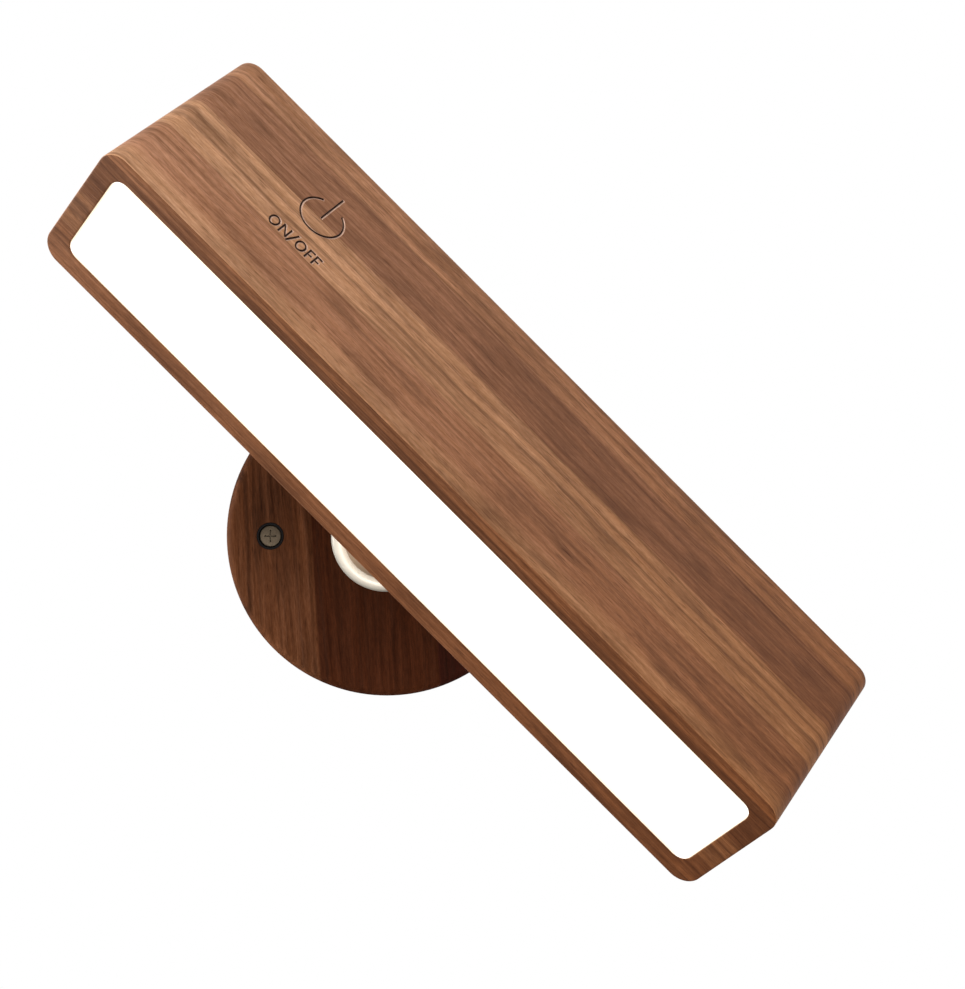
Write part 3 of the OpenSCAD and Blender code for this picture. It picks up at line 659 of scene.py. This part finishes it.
# Wooden bar
markSet = {  # engraved switch mark, in the bar's millimetres
    "mid": (-75.85, 39.7),
    "ringR": 6.72,
    "stroke": 0.5,
    "gap": 31,  # degrees each side of the stem
    "stemFrom": 39.25,
    "stemTo": 51.0,
    "wordLeft": -84.85,
    "baseline": 23.3,
    "capHeight": 3.95,
    "wordStroke": 0.52,
    "ease": 0.2,  # softened edge, wider on one side; it carries a painted highlight
    "easeAside": (0.2, -0.09),
    "sink": 0.5,
}


def barSolid(values):
    bm = bmesh.new()
    steps = values["cornerSteps"]
    midZ = values["height"] / 2

    def ring(inset, depth, grow=0.0, window=False):
        length = values["length"] - 2 * (inset + (values["rim"] if window else 0)) + grow
        height = values["height"] - 2 * (inset + (values["rim"] if window else 0)) + grow
        radius = (values["windowR"] if window else values["cornerR"]) - inset + grow / 2
        outline = loopPoints(length, height, max(radius, 0.0005), steps, values["guard"])
        return [Vector((x, depth, midZ + z)) for x, z in outline]

    ease = values["ease"]
    depth = values["depth"]
    lip = values["lipEase"]
    guard = values["guard"]
    outside = [(ease + guard, depth)] + arcPoints((ease, depth - ease), ease, 90, 180, values["easeSteps"])
    outside += [(0, depth - ease - guard), (0, ease + guard)]
    outside += arcPoints((ease, ease), ease, 180, 270, values["easeSteps"]) + [(ease + guard, 0)]
    loops = [ring(inset, y) for inset, y in outside]
    loops.append(ring(-lip - guard, 0, window=True))
    for inset, y in arcPoints((-lip, lip), lip, 270, 360, 3):
        loops.append(ring(inset, y, window=True))
    loops.append(ring(0, values["trayBack"], window=True))
    loops.append(ring(values["shoulder"], values["trayBack"], window=True))
    loops.append(ring(values["shoulder"], depth - values["backWall"], window=True))
    skinLoops(bm, loops)
    return meshFrom(bm, "barShell", barPlace)


def spread(outline, out):
    points = []
    for k, here in enumerate(outline):
        before, after = Vector(outline[k - 1]), Vector(outline[(k + 1) % len(outline)])
        one = (Vector(here) - before).normalized()
        two = (after - Vector(here)).normalized()
        side = Vector((one.y + two.y, -one.x - two.x))
        side.normalize()
        reach = out / max(0.5, side.dot(Vector((one.y, -one.x))))
        points.append((here[0] + side.x * reach, here[1] + side.y * reach))
    return points


def prism(bm, outline, levels):
    skinLoops(bm, [[Vector((x, y, z)) for x, y in spread(outline, out)] for z, out in levels])


def ringPrism(bm, mid, outer, inner, angles, levels):
    (low, lowOut), (high, highOut) = levels
    loops = []
    for angle in angles:
        c, s = math.cos(angle), math.sin(angle)
        corners = ((outer, lowOut, low), (outer, highOut, high),
                   (inner, -highOut, high), (inner, -lowOut, low))
        loops.append([Vector((mid[0] + c * (r[0] + out), mid[1] + s * (r[1] + out), z))
                      for r, out, z in corners])
    whole = abs(angles[-1] - angles[0] - 2 * math.pi) < 1e-6
    skinLoops(bm, loops, closeEnds=not whole)


def markCutter(values, levels, material, aside=(0.0, 0.0)):
    bm = bmesh.new()
    half = values["stroke"] / 2
    mid = values["mid"]
    start = math.radians(90 + values["gap"])
    end = math.radians(450 - values["gap"])
    turn = [start + (end - start) * k / 72 for k in range(73)]
    outer = values["ringR"] + half
    inner = values["ringR"] - half
    ringPrism(bm, mid, (outer, outer), (inner, inner), turn, levels)
    prism(bm, [(mid[0] - half, values["stemFrom"]), (mid[0] + half, values["stemFrom"]),
               (mid[0] + half, values["stemTo"]), (mid[0] - half, values["stemTo"])], levels)
    cap = values["capHeight"]
    s = values["wordStroke"]
    letterN = [(0, 0), (s, 0), (s, cap - 0.9), (3 - s, 0), (3, 0), (3, cap), (3 - s, cap), (3 - s, 0.9),
               (s, cap), (0, cap)]
    letterF = [(0, 0), (s, 0), (s, 1.6), (1.75, 1.6), (1.75, 1.6 + s), (s, 1.6 + s), (s, cap - s),
               (2.05, cap - s), (2.05, cap), (0, cap)]
    slash = [(0, -0.45), (s, -0.45), (1.75 + s, cap + 0.35), (1.75, cap + 0.35)]
    for left, outline in ((4.15, letterN), (7.35, slash), (14.0, letterF), (16.55, letterF)):
        prism(bm, [(values["wordLeft"] + left + x, values["baseline"] + y) for x, y in outline], levels)
    fullTurn = [2 * math.pi * k / 40 for k in range(41)]
    for left in (0, 9.9):
        mid = (values["wordLeft"] + left + 1.7, values["baseline"] + cap / 2)
        ringPrism(bm, mid, (1.7, cap / 2 + 0.05), (1.7 - s, cap / 2 + 0.05 - s), fullTurn, levels)
    bmesh.ops.translate(bm, vec=(*aside, 0.0), verts=bm.verts)
    bmesh.ops.scale(bm, vec=(mm, mm, mm), verts=bm.verts)
    return addObject("markCutter", meshFrom(bm, "markCutter", barPlace), material)


fitSet = {  # holes in the bar, in millimetres
    "plateR": 18.05,
    "plateT": 1.5,
    "stemR": 4.2,
    "floor": 8.2,
    "socketX": -76,
    "socketZ": 17.25,
    "socketW": 9.4,
    "socketH": 3.7,
    "socketR": 1.65,
    "lightX": -66,
    "lightR": 1.3,
}


def mountCutter(values):
    profile = [(0, -1), (values["plateR"], -1), (values["plateR"], values["plateT"]),
               (values["stemR"], values["plateT"]), (values["stemR"], values["floor"] + 1),
               (0, values["floor"] + 1)]
    bm = lathe([(r * mm, h * mm) for r, h in profile], 96)
    move = Matrix.Translation((barSet["mountX"], barSet["depth"] / 2, 0))
    return addObject("mountCutter", meshFrom(bm, "mountCutter", barPlace @ move), barWood)


def socketCutter(values):
    bm = bmesh.new()
    back = barSet["depth"] / mm
    outline = loopPoints(values["socketW"], values["socketH"], values["socketR"], 8)
    reach = (back - barSet["backWall"] / mm - 1, back + 1)
    skinLoops(bm, [[Vector((values["socketX"] + x, y, values["socketZ"] + z)) for x, z in outline]
                   for y in reach])
    rim = arcPoints((values["lightX"], values["socketZ"]), values["lightR"], 0, 352.5, 47)
    skinLoops(bm, [[Vector((x, y, z)) for x, z in rim] for y in reach])
    bmesh.ops.scale(bm, vec=(mm, mm, mm), verts=bm.verts)
    return addObject("socketCutter", meshFrom(bm, "socketCutter", barPlace), barWood)


barShell = addObject("barShell", barSolid(barSet), barWood)
barTop = barSet["height"] / mm
easedLevels = ((barTop - markSet["ease"], 0.0), (barTop + 0.02, markSet["ease"] + 0.02))
grooveLevels = ((barTop - markSet["sink"], 0.0), (barTop + 1, 0.0))
# The softened edges take the painted highlight and the grooves the painted shade
carve(barShell, markCutter(markSet, easedLevels, easedWood, markSet["easeAside"]), crossing=True)
carve(barShell, markCutter(markSet, grooveLevels, grooveWood))
for cutter in (mountCutter(fitSet), socketCutter(fitSet)):
    carve(barShell, cutter)
barShell.data.materials.append(frontWood)
barShell.data.materials.append(backWood)
lastSlot = len(barShell.data.materials) - 1
# Faces looking forward take the darker walnut, painted shade; faces looking back take the back wood
for face in barShell.data.polygons:
    facing = face.normal.dot(backBar)
    if abs(facing) > 0.7 and barShell.data.materials[face.material_index] == barWood:
        face.material_index = lastSlot if facing > 0 else lastSlot - 1
place(barShell, "lamp", "bar_walnut", "lamp_shell")
print("bar carved:", len(barShell.data.polygons), "faces")

# Opal window in the bar's light face
windowSet = {
    "room": 0.05 * mm,
    "recess": 0.8 * mm,
    "thick": 2.5 * mm,
    "lipTop": 0.2 * mm,  # thin upstand round the border
    "lipT": 0.2 * mm,
}


def windowMesh(values):
    bm = bmesh.new()
    midZ = barSet["height"] / 2
    length = barSet["length"] - 2 * (barSet["rim"] + values["room"])
    height = barSet["height"] - 2 * (barSet["rim"] + values["room"])
    front = values["recess"]
    lip = values["lipT"]
    profile = [(2 * lip, front), (1.3 * lip, front - 0.3 * lip), (lip, front - lip), (lip, values["lipTop"]),
               (0, values["lipTop"]), (0, front + values["thick"])]
    loops = []
    for inset, y in profile:
        radius = barSet["windowR"] - values["room"] - inset
        loops.append([Vector((x, y, midZ + z)) for x, z in
                      loopPoints(length - 2 * inset, height - 2 * inset, radius, 10)])
    skinLoops(bm, loops)
    return meshFrom(bm, "opalWindow", barPlace)


opalWindow = addObject("opalWindow", windowMesh(windowSet), opalGlow)
place(opalWindow, "lamp", "opal_acrylic", "diffuser")
print("window fitted")

# Round wall base, turned as one profile
baseSet = {
    "r": 47.5,
    "thick": 16,
    "edgeR": 3,
    "backEase": 0.6,
    "guard": 0.4,
    "spigotR": 13.55,
    "spigotSink": 2,
    "bushR": 12.6,
    "bushBottom": 8.25,
    "stemR": 3.25,
    "ledge": 6.25,
    "pocketR": 9,
    "plateR": 17.2,
    "plateT": 1.2,
    "pitch": 68.8,
    "ferruleR": 4.05,
    "ferruleFloor": 12,
    "screwR": 1.95,
    "steps": 160,
}


def baseMesh(v):
    ease = v["backEase"]
    guard = v["guard"]
    edgeMid = (v["r"] - v["edgeR"], v["thick"] - v["edgeR"])
    profile = [(v["r"] - ease - guard, 0)] + arcPoints((v["r"] - ease, ease), ease, 270, 360, 3)
    profile += [(v["r"], ease + guard), (v["r"], edgeMid[1] - guard)]
    profile += arcPoints(edgeMid, v["edgeR"], 0, 90, 12)
    profile += [(edgeMid[0] - guard, v["thick"]), (v["spigotR"] + 0.25 + guard, v["thick"])]
    profile += arcPoints((v["spigotR"] + 0.25, v["thick"] - 0.25), 0.25, 90, 180, 2)
    profile += [(v["spigotR"], v["thick"] - v["spigotSink"]), (v["bushR"], v["thick"] - v["spigotSink"]),
                (v["bushR"], v["bushBottom"]), (v["stemR"], v["bushBottom"]), (v["stemR"], v["ledge"]),
                (v["pocketR"], v["ledge"]), (v["pocketR"], v["plateT"]), (v["plateR"], v["plateT"])]
    profile += arcPoints((v["plateR"] + 0.25, 0.25), 0.25, 180, 270, 2)
    bm = lathe([(r * mm, h * mm) for r, h in profile], v["steps"])
    return meshFrom(bm, "baseDisc", basePlace)


def ferruleCutter(v):
    profile = [(0, -1), (v["screwR"], -1), (v["screwR"], v["ferruleFloor"]),
               (v["ferruleR"], v["ferruleFloor"]), (v["ferruleR"], v["thick"] + 1), (0, v["thick"] + 1)]
    whole = bmesh.new()
    for side in (-1, 1):
        bm = lathe([(r * mm, h * mm) for r, h in profile], 48)
        bmesh.ops.translate(bm, vec=(side * v["pitch"] / 2 * mm, 0, 0), verts=bm.verts)
        part = bpy.data.meshes.new("ferruleHole")
        bm.to_mesh(part)
        bm.free()
        whole.from_mesh(part)
        bpy.data.meshes.remove(part)
    return addObject("ferruleCutter", meshFrom(whole, "ferruleCutter", basePlace), baseWood)


baseDisc = addObject("baseDisc", baseMesh(baseSet), baseWood)
carve(baseDisc, ferruleCutter(baseSet))
place(baseDisc, "base", "base_walnut", "base_disc")
print("base turned:", len(baseDisc.data.polygons), "faces")

# Rounded ring around the ball
ringSet = {"r": 16.1, "bore": 11.2, "rise": 9.5, "spigotR": 13.5, "spigot": 2, "ease": 0.3, "base": 16}


def ringMesh(v):
    wall = v["r"] - v["bore"]
    top = v["rise"] - wall / 2
    profile = [(v["bore"], -v["spigot"]), (v["spigotR"], -v["spigot"]), (v["spigotR"], 0)]
    profile += arcPoints((v["r"] - v["ease"], v["ease"]), v["ease"], 270, 360, 3)
    profile += arcPoints((v["bore"] + wall / 2, top), wall / 2, 0, 180, 24)
    bm = lathe([(r * mm, (h + v["base"]) * mm) for r, h in profile], 160)
    return meshFrom(bm, "socketRing", basePlace, 40)


socketRing = addObject("socketRing", ringMesh(ringSet), ringNickel)
place(socketRing, "base", "satin_nickel", "socket_ring")

# Ball and its stud
studSet = {
    "ballR": 12,
    "neckR": 5,
    "flangeR": 11.5,
    "flangeT": 2.5,
    "standOff": 19.15,
    "fillet": 2.2,
    "edge": 0.5,
    "stemR": 4,
    "stemEnd": 34.65,
    "pitch": 1.25,
    "thread": 0.35,
}


def ballMesh(v):
    profile = arcPoints((0, 0), v["ballR"], -90, 90, 64)
    profile[0] = (0, -v["ballR"])
    profile[-1] = (0, v["ballR"])
    bm = lathe([(abs(r) * mm, h * mm) for r, h in profile], 128, closed=False)
    return meshFrom(bm, "ball", studPlace, 80)


def studMesh(v):
    seat = math.sqrt((v["ballR"] + 0.05) ** 2 - v["neckR"] ** 2)
    low = v["standOff"] - v["flangeT"]
    flare = min(v["fillet"], low - seat - 0.2)
    cup = [(r, math.sqrt((v["ballR"] + 0.05) ** 2 - r * r)) for r in (0, 1.5, 3, 4.2)]
    profile = cup + [(v["neckR"], seat)]
    profile += arcPoints((v["neckR"] + flare, low - flare), flare, 180, 90, 10)
    profile += arcPoints((v["flangeR"] - v["edge"], low + v["edge"]), v["edge"], 270, 360, 4)
    profile += arcPoints((v["flangeR"] - v["edge"], v["standOff"] - v["edge"]), v["edge"], 0, 90, 4)
    profile += [(v["stemR"], v["standOff"])]
    height = v["standOff"] + 8
    while height < v["stemEnd"] - v["pitch"]:
        profile += [(v["stemR"], height), (v["stemR"] - v["thread"], height + v["pitch"] / 2)]
        height += v["pitch"]
    profile += [(v["stemR"], height), (v["stemR"] - v["thread"], v["stemEnd"]), (0, v["stemEnd"])]
    bm = lathe([(r * mm, h * mm) for r, h in profile], 96, closed=False)
    return meshFrom(bm, "ballStud", studPlace, 40)


ball = addObject("steelBall", ballMesh(studSet), ballSteel)
place(ball, "ball", "ball_steel", "ball")
ballStud = addObject("ballStud", studMesh(studSet), satinNickel)
place(ballStud, "stud", "satin_nickel", "ball_stud")
print("ring, ball and stud turned")


# Screws: one master of each kind, set out by a node tree
def ringTree():
    tree = bpy.data.node_groups.new("setOut", "GeometryNodeTree")
    for name, kind in (("Piece", "NodeSocketObject"), ("Count", "NodeSocketInt"),
                       ("Radius", "NodeSocketFloat"), ("Start", "NodeSocketFloat"),
                       ("Finish", "NodeSocketMaterial")):
        tree.interface.new_socket(name, in_out="INPUT", socket_type=kind)
    tree.interface.new_socket("Geometry", in_out="OUTPUT", socket_type="NodeSocketGeometry")
    add = tree.nodes.new
    link = tree.links.new
    given = add("NodeGroupInput")
    result = add("NodeGroupOutput")
    index = add("GeometryNodeInputIndex")

    def calc(operation, a, b=None):
        node = add("ShaderNodeMath")
        node.operation = operation
        for socket, value in zip(node.inputs, (a, b)):
            if isinstance(value, bpy.types.NodeSocket):
                link(value, socket)
            elif value is not None:
                socket.default_value = value
        return node.outputs[0]

    step = calc("DIVIDE", 2 * math.pi, given.outputs["Count"])
    angle = calc("ADD", calc("MULTIPLY", index.outputs[0], step), given.outputs["Start"])
    spot = add("ShaderNodeCombineXYZ")
    link(calc("MULTIPLY", calc("COSINE", angle), given.outputs["Radius"]), spot.inputs[0])
    link(calc("MULTIPLY", calc("SINE", angle), given.outputs["Radius"]), spot.inputs[1])
    points = add("GeometryNodePoints")
    link(given.outputs["Count"], points.inputs["Count"])
    link(spot.outputs[0], points.inputs["Position"])
    master = add("GeometryNodeObjectInfo")
    link(given.outputs["Piece"], master.inputs["Object"])
    spread = add("GeometryNodeInstanceOnPoints")
    link(points.outputs[0], spread.inputs["Points"])
    link(master.outputs["Geometry"], spread.inputs["Instance"])
    real = add("GeometryNodeRealizeInstances")
    link(spread.outputs[0], real.inputs[0])
    finish = add("GeometryNodeSetMaterial")
    link(real.outputs[0], finish.inputs["Geometry"])
    link(given.outputs["Finish"], finish.inputs["Material"])
    link(finish.outputs[0], result.inputs[0])
    return tree


setOut = ringTree()


def setOutPieces(name, mesh, count, radius, start, material, where, smooth=32):
    master = addObject(name + "Master", mesh, material)
    obj = addObject(name, bpy.data.meshes.new(name))
    change = obj.modifiers.new("setOut", "NODES")
    change.node_group = setOut
    values = {"Piece": master, "Count": count, "Radius": radius, "Start": start, "Finish": material}
    for socket in setOut.interface.items_tree:
        if socket.item_type == "SOCKET" and socket.in_out == "INPUT":
            change[socket.identifier] = values[socket.name]
    bakeModifiers(obj)
    bpy.data.objects.remove(master)
    obj.data.transform(where)
    softenMesh(obj.data, smooth)
    return obj


def crossCutter(arm, slot, top, depth):
    bm = bmesh.new()
    half = slot / 2
    outline = []
    for turn in range(4):
        c, s = math.cos(turn * math.pi / 2), math.sin(turn * math.pi / 2)
        for x, y in ((arm, -half), (arm, half), (half, half)):
            outline.append((x * c - y * s, x * s + y * c))
    tip = [(x * 0.72, y * 0.72) for x, y in outline]
    skinLoops(bm, [[Vector((x, y, top - depth)) for x, y in tip],
                   [Vector((x, y, top + depth / 2)) for x, y in outline]])
    return addObject("crossCutter", meshFrom(bm, "crossCutter"), blackPlastic)


wallScrewSet = {
    "headR": 3.25,
    "headT": 2.2,
    "headTop": 15.2,
    "headEase": 0.35,
    "shankR": 1.4,
    "threadR": 1.75,
    "rootR": 1.2,
    "pitch": 1.6,
    "out": 25,
    "tip": 7,
    "arm": 1.95,
    "slot": 0.42,
    "sink": 1.1,
    "steps": 32,
}


def wallScrewMesh(v):
    top = v["headTop"]
    ease = v["headEase"]
    under = top - v["headT"]
    profile = [(0, 0), (v["shankR"], 0), (v["shankR"], under), (v["headR"] - 0.1, under)]
    profile += [(v["headR"], under + 0.1)]
    profile += arcPoints((v["headR"] - ease, top - ease), ease, 0, 90, 4)
    profile += [(0, top)]
    bm = lathe([(r * mm, h * mm) for r, h in profile], 48, closed=False)
    head = addObject("wallScrewHead", meshFrom(bm, "wallScrewHead"), screwSteel)
    carve(head, crossCutter(v["arm"] * mm, v["slot"] * mm, top * mm, v["sink"] * mm))
    whole = bmesh.new()
    whole.from_mesh(head.data)
    bpy.data.objects.remove(head)
    rows = int(v["out"] / v["pitch"] * 8)
    grid = []
    for row in range(rows + 1):
        z = -v["out"] * row / rows
        fade = min(1.0, (v["out"] + z) / v["tip"])
        ring = []
        for k in range(v["steps"]):
            turn = (z / v["pitch"] + k / v["steps"]) % 1
            crest = max(0.0, 1 - abs(turn - 0.5) / 0.28)
            r = (v["rootR"] + (v["threadR"] - v["rootR"]) * crest) * max(fade, 0.12)
            angle = 2 * math.pi * k / v["steps"]
            ring.append(Vector((r * math.cos(angle), r * math.sin(angle), z)) * mm)
        grid.append(ring)
    skinLoops(whole, grid)
    return meshFrom(whole, "wallScrew")


wallScrews = setOutPieces("wallScrews", wallScrewMesh(wallScrewSet), 2, baseSet["pitch"] / 2 * mm, 0,
                          screwSteel, basePlace)
place(wallScrews, "base", "screw_steel", "wall_screws")

ferruleSet = {"r": 4, "bore": 3.3, "floor": 1, "hole": 1.8, "seat": 13, "top": 16, "lip": 0.2}


def ferruleMesh(v):
    profile = [(v["hole"], v["seat"] - v["floor"]), (v["r"], v["seat"] - v["floor"])]
    profile += arcPoints((v["r"] - v["lip"], v["top"] - v["lip"]), v["lip"], 0, 90, 4)
    profile += arcPoints((v["bore"] + v["lip"], v["top"] - v["lip"]), v["lip"], 90, 180, 4)
    profile += [(v["bore"], v["seat"]), (v["hole"], v["seat"])]
    return meshFrom(lathe([(r * mm, h * mm) for r, h in profile], 64), "ferrule")


screwFerrules = setOutPieces("screwFerrules", ferruleMesh(ferruleSet), 2, baseSet["pitch"] / 2 * mm, 0,
                             blackPlastic, basePlace)
place(screwFerrules, "base", "black_plastic", "screw_ferrules")

plateScrewSet = {
    "headR": 2.2,
    "shankR": 1.2,
    "length": 5,
    "arm": 1.36,
    "slot": 0.36,
    "sink": 0.7,
    "count": 3,
    "start": -90,  # degrees
    "backHead": 1.2,  # head's height and place from the middle, in the back plate
    "backR": 13,
    "mountHead": 1.5,  # the same in the bar's mounting plate
    "mountR": 14.75,
}


def plateScrewMesh(v, headT):
    profile = [(0, -v["length"]), (v["shankR"] - 0.2, -v["length"]), (v["shankR"], 0.3 - v["length"]),
               (v["shankR"], -headT), (v["headR"] - 0.08, -0.08), (v["headR"] - 0.16, 0), (0, 0)]
    bm = lathe([(r * mm, h * mm) for r, h in profile], 40, closed=False)
    screw = addObject("plateScrew", meshFrom(bm, "plateScrew"), plainSteel)
    carve(screw, crossCutter(v["arm"] * mm, v["slot"] * mm, 0, v["sink"] * mm))
    mesh = screw.data
    bpy.data.objects.remove(screw)
    return mesh


flip = Matrix.Rotation(math.pi, 4, "X")
screwStart = math.radians(plateScrewSet["start"])
backScrews = setOutPieces("backPlateScrews", plateScrewMesh(plateScrewSet, plateScrewSet["backHead"]),
                          plateScrewSet["count"], plateScrewSet["backR"] * mm, screwStart,
                          plainSteel, basePlace @ flip)
place(backScrews, "base", "plain_steel", "back_plate_screws")
mountMid = Matrix.Translation((barSet["mountX"], barSet["depth"] / 2, 0))
mountScrews = setOutPieces("mountPlateScrews", plateScrewMesh(plateScrewSet, plateScrewSet["mountHead"]),
                           plateScrewSet["count"], plateScrewSet["mountR"] * mm, screwStart,
                           plainSteel, barPlace @ mountMid @ flip)
place(mountScrews, "lamp", "plain_steel", "mount_plate_screws")
print("screws set out")


# Small metal and plastic parts: eased copies of the CAD shapes
def easedCopy(node, name, material, body, slot, width, angle=40):
    mesh = frame["nodes"][node].data.copy()
    mesh.name = name
    mesh.materials.clear()
    bm = bmesh.new()
    bm.from_mesh(mesh)
    bmesh.ops.remove_doubles(bm, verts=bm.verts, dist=2e-6)
    bmesh.ops.dissolve_limit(bm, angle_limit=math.radians(1), verts=bm.verts, edges=bm.edges)
    bm.to_mesh(mesh)
    bm.free()
    obj = addObject(name, mesh, material)
    change = obj.modifiers.new("ease", "BEVEL")
    change.width = width
    change.segments = 2
    change.limit_method = "ANGLE"
    change.angle_limit = math.radians(angle)
    bakeModifiers(obj)
    softenMesh(obj.data, 30)
    change = obj.modifiers.new("flats", "WEIGHTED_NORMAL")
    change.weight = 100
    change.keep_sharp = True
    bakeModifiers(obj)
    return place(obj, body, slot, node)


easedCopy("mount_plate", "mountPlate", plainSteel, "lamp", "plain_steel", 0.2 * mm)
easedCopy("back_plate", "backPlate", plainSteel, "base", "plain_steel", 0.2 * mm)
easedCopy("usb_socket", "chargingSocket", socketSteel, "lamp", "socket_steel", 0.06 * mm)
easedCopy("indicator_light", "indicatorLight", indicatorRed, "lamp", "indicator", 0.3 * mm)
easedCopy("seat_cup", "seatCup", seatSteel, "seat", "seat_steel", 0.25 * mm)

# Inner nodes keep their CAD shape and take the finish of their slot
for component in frame["record"]["subparts"]:
    node = frame["nodes"][component["node"]]
    if not node.hide_render:
        node.data.materials.clear()
        node.data.materials.append(slotMaterial[component["material_slot"]])
print("inner nodes finished")

# Floor, world and lamps
lightSet = {
    "ambient": 0.25,
    "key": {"place": (-0.17, -0.34, 0.33), "aim": (0, -0.07, 0.05), "size": 0.4, "power": 1.8},
    "side": {"place": (-0.9, 0.15, 0.06), "aim": (-0.03, -0.02, 0), "size": 0.4, "power": 14},
    "fill": {"place": (-0.12, -0.98, -0.30), "aim": (0, -0.03, 0), "size": 0.5, "power": 8},
    "back": {"place": (0.7, 0.8, 0.5), "aim": (0, 0, 0), "size": 0.8, "power": 8},
    "floorZ": -1.1,
    "floorR": 2.4,
    "floorShown": 0.7,  # how much of its plain white the floor shows
}


def shownRays(tree):
    path = tree.nodes.new("ShaderNodeLightPath")
    shown = mathNode(tree, "ADD", path.outputs["Is Camera Ray"], path.outputs["Is Glossy Ray"])
    return mathNode(tree, "ADD", shown, path.outputs["Is Transmission Ray"], clamp=True)


def makeWorld(ambient):
    world = bpy.data.worlds.new("studio")
    world.use_nodes = True
    scene.world = world
    tree = world.node_tree
    tree.nodes.clear()
    soft = tree.nodes.new("ShaderNodeBackground")
    soft.inputs["Strength"].default_value = ambient
    white = tree.nodes.new("ShaderNodeBackground")
    white.inputs["Color"].default_value = (1, 1, 1, 1)
    soft.inputs["Color"].default_value = (1, 1, 1, 1)
    mix = tree.nodes.new("ShaderNodeMixShader")
    out = tree.nodes.new("ShaderNodeOutputWorld")
    tree.links.new(shownRays(tree), mix.inputs[0])
    tree.links.new(soft.outputs[0], mix.inputs[1])
    tree.links.new(white.outputs[0], mix.inputs[2])
    tree.links.new(mix.outputs[0], out.inputs["Surface"])


def makeLamp(name, values):
    data = bpy.data.lights.new(name, "AREA")
    data.shape = "DISK"
    data.size = values["size"]
    data.energy = values["power"]
    lamp = bpy.data.objects.new(name, data)
    lamp.location = values["place"]
    aim = Vector(values["aim"]) - Vector(values["place"])
    lamp.rotation_euler = aim.to_track_quat("-Z", "Y").to_euler()
    scene.collection.objects.link(lamp)


def floorFinish(white):  # lights nothing, and keeps a soft shadow
    material = plastic("floorPale", srgb(236, 234, 230), 0.8, 0.1, 0.02, 0.02)
    tree = material.node_tree
    glow = tree.nodes.new("ShaderNodeEmission")
    mix = tree.nodes.new("ShaderNodeMixShader")
    tree.links.new(mathNode(tree, "MULTIPLY", shownRays(tree), white), mix.inputs[0])
    tree.links.new(tree.nodes["Principled BSDF"].outputs[0], mix.inputs[1])
    tree.links.new(glow.outputs[0], mix.inputs[2])
    tree.links.new(mix.outputs[0], tree.nodes["Material Output"].inputs["Surface"])
    return material


def makeFloor(values):
    bm = bmesh.new()
    bmesh.ops.create_circle(bm, cap_ends=True, segments=128, radius=values["floorR"])
    bmesh.ops.translate(bm, vec=(0, 0, values["floorZ"]), verts=bm.verts)
    addObject("floor", meshFrom(bm, "floor"), floorFinish(values["floorShown"]))


makeWorld(lightSet["ambient"])
makeLamp("keyLamp", lightSet["key"])
makeLamp("sideLamp", lightSet["side"])
makeLamp("fillLamp", lightSet["fill"])
makeLamp("backLamp", lightSet["back"])
makeFloor(lightSet)
print("stage set")
